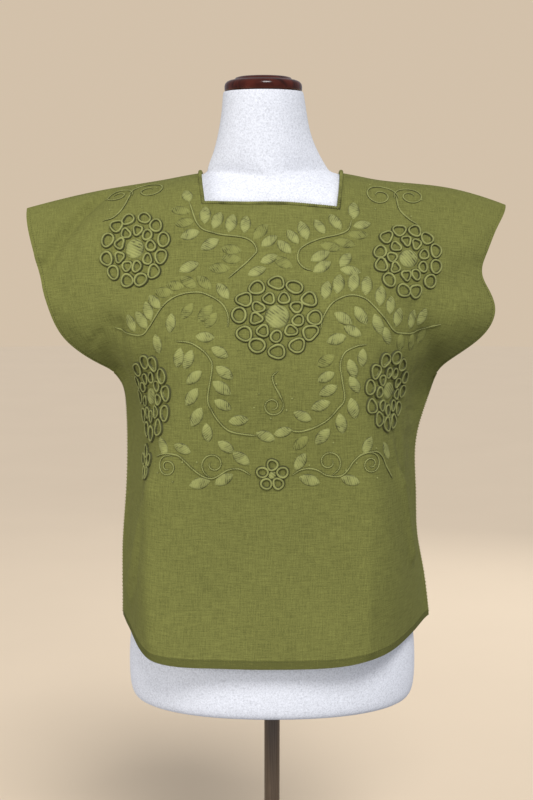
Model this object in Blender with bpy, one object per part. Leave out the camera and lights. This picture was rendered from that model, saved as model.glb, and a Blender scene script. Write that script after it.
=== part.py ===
"""Embroidered cotton blouse with grown-on cap sleeves, worn by a limbless dress form on a pole stand.

Metres, +Z up, the wearer's front faces -Y. The origin is the middle of the stand's foot, on the floor.
The blouse is two panels cut with their sleeves, a neck binding and padded ring rosettes on the front.
"""

from collections import namedtuple
import math

import bpy
from mathutils import Vector
from mathutils.bvhtree import BVHTree
from mathutils.geometry import delaunay_2d_cdt
import numpy as np

MM = 0.001

# Driving sizes, in millimetres.
WALL = 1.4
HEM_WALL = 2.4
SEAM_GAP = 0.3
SEAT_GAP = 0.8
BINDING_RADIUS = 2.3
BINDING_GAP = 0.45
BINDING_RISE = 2.2
BINDING_RISE_REACH = 30
NECK_LEFT = 90
NECK_RIGHT = 86
FRONT_NECK_HEIGHT = 1044
BACK_NECK_HEIGHT = 1062
POLE_RADIUS = 10
SOCKET_DEPTH = 36
FORM_BOTTOM = 424
CAP_BOTTOM = 1179.5
SOLE = 14

FABRIC = (0.225, 0.245, 0.062)
THREAD = (0.29, 0.31, 0.095)
LINEN = (0.80, 0.80, 0.83)
MAHOGANY = (0.10, 0.018, 0.008)
STEEL = (0.42, 0.39, 0.36)

# Courses of the cloth, from the hem up to the shoulder ridge: heights at the middle and at the edge, how far
# the front and back stand off at the middle, how far the left and right edges reach and stand off, and how
# much higher the course runs on the left.
Course = namedtuple("Course", "middle edge front back left right off tilt", defaults=(0,))
COURSES = [
    Course(500, 526, 143, 119, 190, 200, 0),
    Course(514, 534, 143, 119, 190, 199, 0),
    Course(575, 585, 141, 116, 190, 194, 0),
    Course(630, 632, 141, 112, 189, 181, 0),
    Course(690, 690, 143, 110, 183, 182, 0),
    Course(750, 750, 147, 110, 181, 176, 0),
    Course(800, 800, 151, 112, 182, 192, 0),
    Course(835, 823, 154, 115, 184, 199, 0),
    Course(862, 840, 154, 117, 195, 202, 20),
    Course(888, 857, 150, 119, 221, 216, 38),
    Course(915, 884, 142, 120, 255, 252, 50),
    Course(945, 920, 130, 119, 268, 274, 52),
    Course(975, 955, 112, 115, 282, 251, 48),
    Course(1005, 988, 96, 107, 288, 259, 38, 3),
    Course(1035, 1016, 80, 94, 297, 271, 24, 7),
]

# The same courses between the middle and the edge: where the flat front turns on the left and on the right,
# the side below the turn, and the fin that runs out to the side seam or the sleeve. Each has its distance off.
Turn = namedtuple("Turn", "left right corner_off side side_off fin fin_off")
FRONT_TURNS = [
    Turn(150, 112, 142, 164, 92, 180, 34),
    Turn(150, 113, 142, 165, 92, 181, 34),
    Turn(152, 124, 140, 170, 86, 183, 30),
    Turn(152, 138, 139, 166, 80, 178, 26),
    Turn(144, 138, 140, 161, 76, 172, 22),
    Turn(130, 128, 146, 160, 75, 170, 20),
    Turn(118, 116, 151, 159, 77, 171, 20),
    Turn(115, 113, 152, 160, 81, 174, 26),
    Turn(116, 114, 150, 163, 88, 188, 50),
    Turn(120, 118, 145, 168, 97, 205, 68),
    Turn(124, 124, 136, 172, 101, 219, 75),
    Turn(126, 126, 124, 176, 96, 229, 73),
    Turn(124, 124, 108, 178, 87, 234, 66),
    Turn(120, 120, 93, 178, 74, 236, 54),
    Turn(116, 116, 76, 176, 58, 236, 38),
]
BACK_TURNS = [
    Turn(140, 136, 118, 162, 80, 180, 34),
    Turn(140, 136, 118, 163, 80, 181, 34),
    Turn(142, 138, 115, 166, 74, 182, 29),
    Turn(142, 140, 111, 164, 68, 177, 24),
    Turn(140, 140, 109, 160, 64, 171, 20),
    Turn(136, 136, 109, 158, 64, 170, 20),
    Turn(132, 132, 110, 157, 66, 170, 21),
    Turn(130, 130, 112, 158, 70, 173, 26),
    Turn(130, 130, 114, 162, 78, 186, 46),
    Turn(130, 130, 115, 168, 86, 206, 62),
    Turn(130, 130, 115, 174, 89, 220, 70),
    Turn(129, 129, 113, 177, 88, 230, 69),
    Turn(127, 127, 108, 178, 82, 234, 62),
    Turn(123, 123, 100, 178, 73, 236, 51),
    Turn(118, 118, 86, 176, 60, 236, 37),
]
# How much of the height between middle and edge each column takes, at the hem, below the underarm and above.
HEM_DROOP = (1, 0.92, 0.6, 0.36, 0.1, 0)
TORSO_DROOP = (1, 0.8, 0.45, 0.05, 0, 0)
SLEEVE_DROOP = (1, 0.7, 0.42, 0.15, 0.05, 0)
HEM_COURSES = 2
UNDERARM_COURSE = 7
# Heights up the cloth count from this far above the hem's lowest point.
HEM_DIP = 3
# How much of a course's tilt each column takes.
TILT = (0, 0.2, 0.6, 1, 0.7, 0)
# Where the column next to the middle lies, as a share of the way to the turn and of the turn's depth.
INNER = 0.7
INNER_OFF = 0.2

# The shoulder ridge, where front and back meet, from the sleeve's tip to the middle.
Ridge = namedtuple("Ridge", "out height")
RIDGE_LEFT = [
    Ridge(301, 1040),
    Ridge(238, 1057),
    Ridge(180, 1067),
    Ridge(126, 1075),
    Ridge(92, 1083),
    Ridge(0, 1092),
]
RIDGE_RIGHT = [
    Ridge(286, 1044),
    Ridge(236, 1063),
    Ridge(180, 1070),
    Ridge(126, 1073),
    Ridge(92, 1083),
    Ridge(0, 1092),
]
# The course that rounds the cloth over the shoulder: how far off and how far down, from edge to middle.
SHOULDER_OFF = (9, 17, 28, 38, 44, 46)
SHOULDER_DROP = (7, 5, 3.5, 3, 3, 3)

# Largest folds: from and to are distances across and up the cloth, then half width and depth.
# A trough has a depth below zero.
Fold = namedtuple("Fold", "across_a up_a across_b up_b width depth")
FRONT_FOLDS = [
    Fold(-212, 612, -292, 486, 18, -6),
    Fold(-205, 548, -262, 440, 22, 4),
    Fold(-206, 413, -246, 354, 18, -8),
    Fold(236, 486, 276, 494, 20, -5),
    Fold(232, 436, 262, 434, 22, 5),
    Fold(199, 400, 238, 366, 18, -8),
    Fold(-153, 209, -226, 62, 16, 6),
    Fold(176, 216, 218, 118, 14, 5),
]
BACK_FOLDS = [
    Fold(-206, 560, -272, 460, 20, -5),
    Fold(206, 560, 268, 470, 20, -5),
    Fold(-60, 470, -96, 250, 28, 5),
    Fold(70, 460, 104, 260, 28, 4),
    Fold(-190, 390, -232, 340, 18, -7),
    Fold(190, 390, 226, 345, 18, -7),
    Fold(-20, 230, -34, 10, 32, 5),
    Fold(90, 190, 128, 20, 26, 4),
]

# The turned hems' width and the rows that round the shoulder, as shares of the panel's width and height.
HEM_BAND = 0.022
SHOULDER_ROWS = (0.963, 0.987)
# How far the binding cuts its lower corners, across and up, as shares of the panel's width and height.
CORNER_ACROSS = 0.013
CORNER_UP = 0.022
# Folds fade out within this distance of the plane of the seams.
SEAM_FADE = 25
# The least share of a slope that a mitred wall is stretched by.
MITRE_LEAST = 0.45
SAMPLES_UP = 161
SAMPLES_ACROSS = 241
SPLINE_ORDER = 3


def spline_weights(count, at):
    """Weights of a clamped cubic B-spline with count controls, one row for each value of at in 0 to 1."""
    inner = np.linspace(0, 1, count - SPLINE_ORDER + 1)
    knots = np.concatenate([[0] * SPLINE_ORDER, inner, [1] * SPLINE_ORDER])
    at = np.clip(np.asarray(at, float), 0, 1 - 1e-9)[:, None]
    weights = ((knots[:-1] <= at) & (at < knots[1:])).astype(float)
    for order in range(1, SPLINE_ORDER + 1):
        low = knots[order:-1] - knots[: -order - 1]
        high = knots[order + 1 :] - knots[1:-order]
        rise = (at - knots[: -order - 1]) / np.where(low > 0, low, 1)
        fall = (knots[order + 1 :] - at) / np.where(high > 0, high, 1)
        weights = weights[:, :-1] * rise * (low > 0) + weights[:, 1:] * fall * (high > 0)
    return weights


def control_net(turns, side):
    """Control points of a panel as [course][column][xyz] in mm. side is -1 for the front, 1 for the back."""
    net = []
    for number, (course, turn) in enumerate(zip(COURSES, turns)):
        off_middle = course.front if side < 0 else course.back
        off_inner = off_middle + INNER_OFF * (turn.corner_off - off_middle)
        off = (course.off, turn.fin_off, turn.side_off, turn.corner_off, off_inner, off_middle)
        droop = SLEEVE_DROOP
        if number <= UNDERARM_COURSE:
            droop = HEM_DROOP if number < HEM_COURSES else TORSO_DROOP
        high = [course.middle + share * (course.edge - course.middle) for share in droop]
        tilt = [course.tilt * share for share in TILT]
        left, right = (
            [(sign * x, side * y, z - sign * t) for x, y, z, t in zip(out, off, high, tilt)]
            for sign, out in (
                (-1, (course.left, turn.fin, turn.side, turn.left, INNER * turn.left, 0)),
                (1, (course.right, turn.fin, turn.side, turn.right, INNER * turn.right, 0)),
            )
        )
        net.append(left + right[-2::-1])
    for off, drop in ((SHOULDER_OFF, SHOULDER_DROP), ((0,) * 6, (0,) * 6)):
        left, right = (
            [(sign * r.out, side * y, r.height - d) for r, y, d in zip(ridge, off, drop)]
            for sign, ridge in ((-1, RIDGE_LEFT), (1, RIDGE_RIGHT))
        )
        net.append(left + right[-2::-1])
    return np.array(net, float)


class Cloth:
    """A panel of cloth with a place for every thread: u runs from edge to edge, v from hem to shoulder."""

    def __init__(self, turns, side, folds):
        self.net = control_net(turns, side)
        self.side = side
        self.folds = folds
        self.v = np.linspace(0, 1, SAMPLES_UP)
        self.u = np.linspace(0, 1, SAMPLES_ACROSS)
        plain = self.plain(self.u, self.v)
        steps = np.linalg.norm(np.diff(plain, axis=1), axis=2)
        run = np.concatenate([np.zeros((len(self.v), 1)), np.cumsum(steps, axis=1)], axis=1)
        self.across = run - run[:, [len(self.u) // 2]]
        rise = np.linalg.norm(np.diff(plain[:, len(self.u) // 2], axis=0), axis=1)
        self.up = np.concatenate([[0], np.cumsum(rise)]) - HEM_DIP

    def plain(self, u, v):
        """Points [v][u][xyz] of the unfolded surface."""
        return np.einsum(
            "va,ub,abk->vuk",
            spline_weights(len(self.net), v),
            spline_weights(len(self.net[0]), u),
            self.net,
        )

    def normals(self, u, v, step=1e-3):
        """Unit normals [v][u][xyz], pointing away from the wearer."""
        u_low, u_high = np.clip(u - step, 0, 1), np.clip(u + step, 0, 1)
        v_low, v_high = np.clip(v - step, 0, 1), np.clip(v + step, 0, 1)
        along = self.plain(u_high, v) - self.plain(u_low, v)
        upward = self.plain(u, v_high) - self.plain(u, v_low)
        normal = np.cross(along, upward) * -self.side
        return normal / np.linalg.norm(normal, axis=2, keepdims=True)

    def flat(self, u, v):
        """Distance across and up the cloth of each grid point, as [v][u]."""
        rows = np.array([np.interp(u, self.u, row) for row in self.across])
        across = np.array([np.interp(v, self.v, column) for column in rows.T]).T
        up = np.interp(v, self.v, self.up)
        return across, np.repeat(up[:, None], len(u), axis=1)

    def folded(self, u, v):
        """Points with the folds, and their normals, as [v][u][xyz]."""
        points, normals = self.plain(u, v), self.normals(u, v)
        across, up = self.flat(u, v)
        lift = np.zeros(across.shape)
        for fold in self.folds:
            run = np.array([fold.across_b - fold.across_a, fold.up_b - fold.up_a], float)
            share = ((across - fold.across_a) * run[0] + (up - fold.up_a) * run[1]) / (run @ run)
            beside = np.hypot(
                across - fold.across_a - np.clip(share, 0, 1) * run[0],
                up - fold.up_a - np.clip(share, 0, 1) * run[1],
            )
            lift += fold.depth * np.exp(-((beside / fold.width) ** 2))
        seam = np.clip(np.abs(points[..., 1]) / SEAM_FADE, 0, 1)
        return points + normals * (lift * seam)[..., None], normals

    def place(self, across, up):
        """u and v of the thread at these distances across and up the cloth."""
        v = float(np.interp(up, self.up, self.v))
        row = np.array([np.interp(v, self.v, column) for column in self.across.T])
        return float(np.interp(across, row, self.u)), v


def new_object(name, points, faces, colour, rough, metallic=0.0, smooth_angle=35):
    """A mesh object from points in mm."""
    mesh = bpy.data.meshes.new(name)
    mesh.from_pydata([tuple(float(c) * MM for c in p) for p in points], [], faces)
    mesh.validate()
    mesh.shade_smooth()
    mesh.set_sharp_from_angle(angle=math.radians(smooth_angle))
    made = bpy.data.objects.new(name, mesh)
    bpy.context.scene.collection.objects.link(made)
    material = bpy.data.materials.new(name)
    material.use_nodes = True
    shader = material.node_tree.nodes["Principled BSDF"]
    shader.inputs["Base Color"].default_value = (*colour, 1)
    shader.inputs["Roughness"].default_value = rough
    shader.inputs["Metallic"].default_value = metallic
    mesh.materials.append(material)


def border_edges(faces):
    """Directed edges that only one face has."""
    edges = {(f[i], f[(i + 1) % len(f)]) for f in faces for i in range(len(f))}
    return [(a, b) for a, b in edges if (b, a) not in edges]


def shell(outer, inner, faces):
    """Points and faces of the closed wall between two point lists that share faces, which turn outwards."""
    used = sorted({i for f in faces for i in f})
    order = {old: new for new, old in enumerate(used)}
    count = len(used)
    top = [tuple(order[i] for i in f) for f in faces]
    bottom = [tuple(i + count for i in reversed(f)) for f in top]
    rim = [(b, a, a + count, b + count) for a, b in border_edges(top)]
    return [outer[i] for i in used] + [inner[i] for i in used], top + bottom + rim


def spread_with(stops, count):
    """About count values from 0 to 1, evenly spread between the stops and with every stop among them."""
    values = []
    for low, high in zip(stops, stops[1:]):
        steps = max(1, round((high - low) * count))
        values += [low + (high - low) * i / steps for i in range(steps)]
    return np.array(values + [stops[-1]])


def neck_cut(cloth, height):
    """u of the left and right edge of the square neckline, and v of its lower edge."""
    ridge = cloth.plain(cloth.u, np.array([1.0]))[0]
    u_left, u_right = (np.interp(x, ridge[:, 0], cloth.u) for x in (-NECK_LEFT, NECK_RIGHT))
    middle = cloth.plain(np.array([0.5]), cloth.v)[:, 0]
    return float(u_left), float(u_right), float(np.interp(height, middle[:, 2], cloth.v))


def panel(name, cloth, neck_height, columns, rows):
    """A cloth panel with its sleeves, its neckline cut out and its hems turned, as one closed wall."""
    u_left, u_right, v_neck = neck_cut(cloth, neck_height)
    u = spread_with((0, HEM_BAND, u_left, u_right, 1 - HEM_BAND, 1), columns)
    v = spread_with((0, HEM_BAND, v_neck, *SHOULDER_ROWS, 1), rows)
    points, normals = cloth.folded(u, v)
    points[..., 1] = cloth.side * np.maximum(np.abs(points[..., 1]), SEAM_GAP / 2)
    wall = np.full(points.shape[:2], WALL)
    wall[:2] = HEM_WALL
    sleeve = points[:, 0, 2] > COURSES[UNDERARM_COURSE].middle
    wall[np.ix_(sleeve, [0, 1, -2, -1])] = HEM_WALL
    inner = points - normals * wall[..., None]
    # Next to a seam the inside stays on its own side of it, and goes in further to keep the wall's thickness.
    crossing = inner[..., 1] * cloth.side < SEAM_GAP / 2
    level = normals.copy()
    level[..., 1] = 0
    length = np.maximum(np.linalg.norm(level, axis=2), MITRE_LEAST)
    mitred = points - level / length[..., None] ** 2 * wall[..., None]
    inner = np.where(crossing[..., None], mitred, inner)
    inner[..., 1] = cloth.side * np.maximum(inner[..., 1] * cloth.side, SEAM_GAP / 2)
    faces = []
    for row in range(len(v) - 1):
        for column in range(len(u) - 1):
            in_neck = u_left - 1e-6 < u[column] < u_right - 1e-6 and v[row] > v_neck - 1e-6
            if not in_neck:
                a = row * len(u) + column
                halves = (a, a + 1, a + len(u) + 1), (a, a + len(u) + 1, a + len(u))
                faces += [half if cloth.side < 0 else half[::-1] for half in halves]
    outer = points.reshape(-1, 3)
    new_object(name, *shell(outer, inner.reshape(-1, 3), faces), FABRIC, 0.9)
    return BVHTree.FromPolygons([tuple(p) for p in outer], faces)


def neck_path(cloth, height, steps):
    """Middle line of the binding along one panel's neckline, from the left shoulder to the right."""
    u_left, u_right, v_neck = neck_cut(cloth, height)
    side = np.linspace(v_neck + CORNER_UP, 1, steps)
    foot = np.linspace(u_left + CORNER_ACROSS, u_right - CORNER_ACROSS, 2 * steps)
    bend_u, bend_v = 0.3 * CORNER_ACROSS, v_neck + 0.3 * CORNER_UP
    u = [*np.full(steps, u_left), u_left + bend_u, *foot, u_right - bend_u, *np.full(steps, u_right)]
    v = [*side[::-1], bend_v, *np.full(2 * steps, v_neck), bend_v, *side]
    path = []
    for here_u, here_v in zip(u, v):
        points, normals = cloth.folded(np.array([here_u]), np.array([here_v]))
        path.append((points[0, 0], normals[0, 0]))
    return path


def binding(front, back, steps=6, sides=6):
    """The rolled edge round the neck: a closed tube that lies against the cut edges of both panels."""
    loop = neck_path(front, FRONT_NECK_HEIGHT, steps)
    loop += neck_path(back, BACK_NECK_HEIGHT, steps)[::-1]
    lines = np.array([p for p, _ in loop])
    normals = np.array([n for _, n in loop])
    # Both shoulders appear twice, once for each panel.
    shoulder = [i for i in range(len(lines)) if np.linalg.norm(lines[i] - lines[i - 1]) < 1]
    for i in shoulder:
        normals[i] = (0, 0, 1)
    lines[:, 2] += BINDING_RISE * np.exp(-((lines[:, 1] / BINDING_RISE_REACH) ** 2))
    keep = [i for i in range(len(lines)) if (i + 1) % len(lines) not in shoulder]
    lines, normals = lines[keep], normals[keep]
    along = np.roll(lines, -1, axis=0) - np.roll(lines, 1, axis=0)
    along /= np.linalg.norm(along, axis=1, keepdims=True)
    into_neck = np.cross(along, normals)
    into_neck /= np.linalg.norm(into_neck, axis=1, keepdims=True)
    inward = np.sign(((np.array([0, 0, CAP_BOTTOM]) - lines) * into_neck).sum(axis=1, keepdims=True))
    into_neck = into_neck * inward
    middle = lines + into_neck * (BINDING_RADIUS + BINDING_GAP) - normals * (WALL / 2)
    points, faces = [], []
    for m, n, k in zip(middle, normals, into_neck):
        for s in range(sides):
            angle = 2 * math.pi * (s + 0.5) / sides
            points.append(m + BINDING_RADIUS * (math.cos(angle) * k + math.sin(angle) * n))
    count = len(middle)
    for i in range(count):
        for s in range(sides):
            a, b = i * sides + s, i * sides + (s + 1) % sides
            c, d = ((i + 1) % count) * sides + s, ((i + 1) % count) * sides + (s + 1) % sides
            faces.append((a, b, d, c))
    if volume_of(points, faces) < 0:
        faces = [f[::-1] for f in faces]
    new_object("neck_binding", points, faces, FABRIC, 0.9)


def volume_of(points, faces):
    """Signed volume of a closed mesh."""
    total = 0.0
    for f in faces:
        for i in range(1, len(f) - 1):
            total += float(np.dot(points[f[0]], np.cross(points[f[i]], points[f[i + 1]]))) / 6
    return total


# Rosettes, placed by their middles on the flat cloth: across, up, half width, half height, turn in degrees,
# and how far they stand clear of the cloth, more where it turns.
Rosette = namedtuple("Rosette", "name across up wide high turn lift")
ROSETTES = [
    Rosette("rosette_middle", 5, 416, 54, 50, 0, 0.35),
    Rosette("rosette_upper_left", -164, 505, 45, 50, 12, 0.7),
    Rosette("rosette_upper_right", 161, 495, 46, 52, -12, 0.7),
    Rosette("rosette_side_left", -160, 321, 42, 57, 6, 0.95),
    Rosette("rosette_side_right", 148, 329, 42, 54, -6, 0.95),
]
FLOWERS = [
    Rosette("flower_low_middle", 0, 231, 21, 21, 0, 0.35),
    Rosette("flower_low_left", -172, 237, 21, 24, 8, 0.5),
]
OUTER_RINGS = 12
INNER_RINGS = 9
FLOWER_RINGS = 5
CORD = 3.4
RING_HEIGHT = 2.0
RING_SIDES = 6
REACH = 20
DISC_SIDES = 12


def ellipse(middle, radii, turn, sides):
    """Corners of an ellipse; radii are along and across the direction turn."""
    out = Vector((math.cos(turn), math.sin(turn)))
    over = Vector((-math.sin(turn), math.cos(turn)))
    corners = []
    for i in range(sides):
        angle = 2 * math.pi * i / sides
        corners.append(middle + out * radii[0] * math.cos(angle) + over * radii[1] * math.sin(angle))
    return corners


def rings_of(count, reach, radii, start):
    """Middle, radii and direction of each ring of a circle of rings in a rosette of half width 1."""
    made = []
    for i in range(count):
        angle = start + 2 * math.pi * i / count
        made.append((Vector((math.cos(angle), math.sin(angle))) * reach, radii, angle))
    return made


def inside(point, corners):
    """Whether a convex outline holds the point."""
    return min((b - a).cross(point - a) for a, b in zip(corners, corners[1:] + corners[:1])) > 0


def applique(rosette, cloth, facets, rings, disc):
    """A rosette of padded rings round a filled disc, as one closed body that lies on the panel's facets."""
    size = rosette.wide
    outers, holes = [], []
    for middle, radii, angle in rings:
        outers.append(ellipse(middle * size, [r * size for r in radii], angle, RING_SIDES))
        holes.append(ellipse(middle * size, [r * size - CORD for r in radii], angle, RING_SIDES))
    outers.append(ellipse(Vector((0, 0)), (disc * size, disc * size), 0, DISC_SIDES))
    points, edges = [], []
    for outline in outers + holes:
        start = len(points)
        points += outline
        edges += [(start + i, start + (i + 1) % len(outline)) for i in range(len(outline))]
    points, _, faces, _, _, _ = delaunay_2d_cdt(points, edges, [], 0, 1e-4)
    kept = []
    for face in faces:
        middle = sum((points[i] for i in face), Vector((0, 0))) / len(face)
        if any(inside(middle, o) for o in outers) and not any(inside(middle, h) for h in holes):
            kept.append(tuple(face))
    turn = math.radians(rosette.turn)
    top, bottom = [], []
    for p in points:
        x = p.x * math.cos(turn) - p.y * math.sin(turn)
        y = (p.x * math.sin(turn) + p.y * math.cos(turn)) * rosette.high / rosette.wide
        u, v = cloth.place(rosette.across + x, rosette.up + y)
        place, normal = (Vector(a[0, 0]) for a in cloth.folded(np.array([u]), np.array([v])))
        place = facets.ray_cast(place + normal * REACH, -normal)[0]
        bottom.append(place + normal * rosette.lift)
        top.append(place + normal * (rosette.lift + RING_HEIGHT))
    made = shell(top, bottom, kept)
    if volume_of(*made) < 0:
        made = made[0], [f[::-1] for f in made[1]]
    new_object(rosette.name, *made, THREAD, 0.75)


def rosettes(cloth, facets):
    """The ring rosettes of the front and the small flowers of its lower border."""
    big = rings_of(OUTER_RINGS, 0.80, (0.20, 0.222), math.radians(90))
    big += rings_of(INNER_RINGS, 0.455, (0.19, 0.175), math.radians(110))
    small = rings_of(FLOWER_RINGS, 0.58, (0.43, 0.40), math.radians(90))
    for rosette in ROSETTES:
        applique(rosette, cloth, facets, big, 0.31)
    for flower in FLOWERS:
        applique(flower, cloth, facets, small, 0.2)


# Dress form, bottom to top: height, shift to the side, half width, front and back depth, how square it is.
Ring = namedtuple("Ring", "height shift wide front back square")
FORM_LOW = [
    Ring(424, 0, 168, 104, 100, 2.2),
    Ring(427, 0, 176, 112, 107, 2.2),
    Ring(436, 0, 182, 117, 111, 2.2),
    Ring(470, 0, 184, 119, 113, 2.2),
    Ring(520, 0, 181, 118, 111, 2.2),
    Ring(570, 0, 168, 112, 106, 2.2),
    Ring(615, 0, 148, 103, 97, 2.2),
    Ring(660, 0, 133, 97, 90, 2.1),
    Ring(700, 0, 132, 99, 90, 2.1),
    Ring(750, 0, 139, 112, 95, 2.1),
    Ring(800, 0, 147, 128, 100, 2.1),
    Ring(845, 0, 151, 138, 104, 2.1),
    Ring(890, 0, 152, 134, 107, 2.1),
    Ring(935, 0, 154, 118, 108, 2.2),
    Ring(975, 0, 160, 98, 105, 2.3),
    Ring(1010, 0, 168, 82, 98, 2.3),
    Ring(1035, 0, 172, 70, 84, 2.3),
    Ring(1050, 0, 170, 64, 70, 2),
]
# Its shoulders carry the cloth, so their heights follow the cloth's ridge.
Shoulder = namedtuple("Shoulder", "wide front back square")
FORM_SHOULDER = [
    Shoulder(160, 57, 52, 1.25),
    Shoulder(132, 54, 48, 1.2),
    Shoulder(108, 53, 47, 1.2),
    Shoulder(93, 52, 47, 1.25),
]
FORM_NECK = [
    Ring(1083, -4, 76, 51.5, 47, 1.5),
    Ring(1088, -6, 74, 51, 47, 1.8),
    Ring(1096, -7, 70, 51, 46.5, 2),
    Ring(1108, -8, 64, 51, 46, 2),
    Ring(1130, -10, 56, 52, 45, 2),
    Ring(1158, -10, 51.5, 52, 44, 2),
    Ring(1177, -11, 49.5, 51, 44, 2),
    Ring(1179.2, -11, 48.5, 50, 43, 2),
]
FORM_SIDES = 28


def ring_points(ring, sides):
    """Points round a superellipse with its own front and back depth."""
    power = 2 / ring.square
    made = []
    for i in range(sides):
        angle = 2 * math.pi * i / sides
        c, s = math.cos(angle), math.sin(angle)
        depth = ring.back if s > 0 else ring.front
        x = ring.wide * math.copysign(abs(c) ** power, c)
        made.append((ring.shift + x, depth * math.copysign(abs(s) ** power, s), ring.height))
    return made


def loft(rings):
    """Points and faces of a closed body through rings of equal count, with a flat end at each end."""
    count = len(rings[0])
    points = [p for ring in rings for p in ring]
    faces = []
    for i in range(len(rings) - 1):
        for j in range(count):
            k = (j + 1) % count
            faces.append((i * count + j, i * count + k, (i + 1) * count + k, (i + 1) * count + j))
    faces.append(tuple(range(count))[::-1])
    faces.append(tuple(range((len(rings) - 1) * count, len(rings) * count)))
    return points, faces


def circle(radius, height, sides, shift=(0, 0)):
    """Points round a circle."""
    return [
        (
            shift[0] + radius * math.cos(2 * math.pi * i / sides),
            shift[1] + radius * math.sin(2 * math.pi * i / sides),
            height,
        )
        for i in range(sides)
    ]


def shoulder_rings(front):
    """Rings of the form just under the cloth's shoulder ridge."""
    ridge = front.plain(front.u, np.array([1.0]))[0]
    made = []
    for part in FORM_SHOULDER:
        height = min(np.interp((-part.wide, part.wide), ridge[:, 0], ridge[:, 2])) - WALL - SEAT_GAP
        made.append(Ring(height, 0, *part))
    return made


def dress_form(front):
    """The torso with its neck, and the socket in its underside that takes the pole."""
    rings = FORM_LOW + shoulder_rings(front) + FORM_NECK
    socket = POLE_RADIUS + SEAM_GAP
    hollow = [circle(socket, h, FORM_SIDES) for h in (FORM_BOTTOM + SOCKET_DEPTH, FORM_BOTTOM)]
    points, faces = loft(hollow + [ring_points(r, FORM_SIDES) for r in rings])
    new_object("form_body", points, faces, LINEN, 0.95, smooth_angle=60)


# Profiles of the turned pieces, from the underside out and up.
# The cap's heights count from its seat on the neck.
Corner = namedtuple("Corner", "radius height")
CAP = [
    Corner(45.5, 0),
    Corner(47, 1.5),
    Corner(47, 7),
    Corner(44, 11.5),
    Corner(35, 14),
    Corner(33, 15.5),
    Corner(20, 18),
]
POLE = [
    Corner(POLE_RADIUS, SOLE + SEAM_GAP),
    Corner(POLE_RADIUS, FORM_BOTTOM + SOCKET_DEPTH - SEAM_GAP),
]
FOOT = [
    Corner(165, 0),
    Corner(165, 8),
    Corner(159, 11),
    Corner(22, 18),
    Corner(15.5, 26),
    Corner(15, 52),
    Corner(POLE_RADIUS + SEAM_GAP, 52),
    Corner(POLE_RADIUS + SEAM_GAP, SOLE),
]


def turned(name, profile, sides, colour, rough, metallic=0.0, shift=(0, 0), base=0):
    """A turned body from its profile."""
    points, faces = loft([circle(c.radius, base + c.height, sides, shift) for c in profile])
    new_object(name, points, faces, colour, rough, metallic)


def stand():
    """The neck cap, the pole and the foot."""
    neck = FORM_NECK[-1]
    middle = (neck.shift, (neck.back - neck.front) / 2)
    turned("neck_cap", CAP, 24, MAHOGANY, 0.2, shift=middle, base=CAP_BOTTOM)
    turned("pole", POLE, 20, STEEL, 0.3, 1.0)
    turned("foot", FOOT, 32, STEEL, 0.35, 1.0)


def main():
    for old in list(bpy.data.objects):
        bpy.data.objects.remove(old)
    front = Cloth(FRONT_TURNS, -1, FRONT_FOLDS)
    back = Cloth(BACK_TURNS, 1, BACK_FOLDS)
    facets = panel("front_panel", front, FRONT_NECK_HEIGHT, 28, 26)
    panel("back_panel", back, BACK_NECK_HEIGHT, 22, 20)
    binding(front, back)
    rosettes(front, facets)
    dress_form(front)
    stand()


main()
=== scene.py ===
"""Looks of an embroidered blouse on its dress form: fine cloth, stitched work, linen and turned stand.

Metres, +Z up, the wearer's front faces -Y. The numbers in the tables are millimetres and degrees.
"""

from collections import namedtuple
import math

import bpy
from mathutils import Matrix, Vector
import numpy as np


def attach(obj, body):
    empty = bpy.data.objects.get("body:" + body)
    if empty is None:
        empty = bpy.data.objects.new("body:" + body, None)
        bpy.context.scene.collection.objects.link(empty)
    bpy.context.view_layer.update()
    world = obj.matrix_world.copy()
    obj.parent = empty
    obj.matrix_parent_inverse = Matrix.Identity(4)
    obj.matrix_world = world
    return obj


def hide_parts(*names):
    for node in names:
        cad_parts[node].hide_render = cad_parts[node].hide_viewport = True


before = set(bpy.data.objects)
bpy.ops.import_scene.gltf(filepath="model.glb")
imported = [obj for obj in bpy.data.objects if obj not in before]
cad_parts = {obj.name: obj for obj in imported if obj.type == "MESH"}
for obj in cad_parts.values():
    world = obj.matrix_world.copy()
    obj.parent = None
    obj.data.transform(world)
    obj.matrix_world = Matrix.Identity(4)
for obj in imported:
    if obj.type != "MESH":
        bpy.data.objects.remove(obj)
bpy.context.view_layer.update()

MM = 0.001
BODY = "root"
RANDOM = np.random.default_rng(7)

# Thickness of the cloth, and of its turned hems.
WALL = 0.9
HEM_WALL = 2.0
NECK_LEFT = 90
NECK_RIGHT = 86
FRONT_NECK_HEIGHT = 1044
BACK_NECK_HEIGHT = 1062
# The neck's cord, with the ridges of its whipping and the painted shade in their dips, and how far it rises
# within a reach of the shoulders.
BINDING_RADIUS = 2.2
BINDING_PITCH = 2.6
BINDING_DEPTH = 0.13
BINDING_SLANT = 1.5
BINDING_SHADE = 0.75
BINDING_SIDES = 10
BINDING_STEP = 0.55
BINDING_RISE = 2.2
BINDING_RISE_REACH = 30
POLE_RADIUS = 10
POLE_PLAY = 0.3
SOCKET_DEPTH = 36
FORM_BOTTOM = 424
CAP_BOTTOM = 1179.5
SOLE = 14

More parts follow.
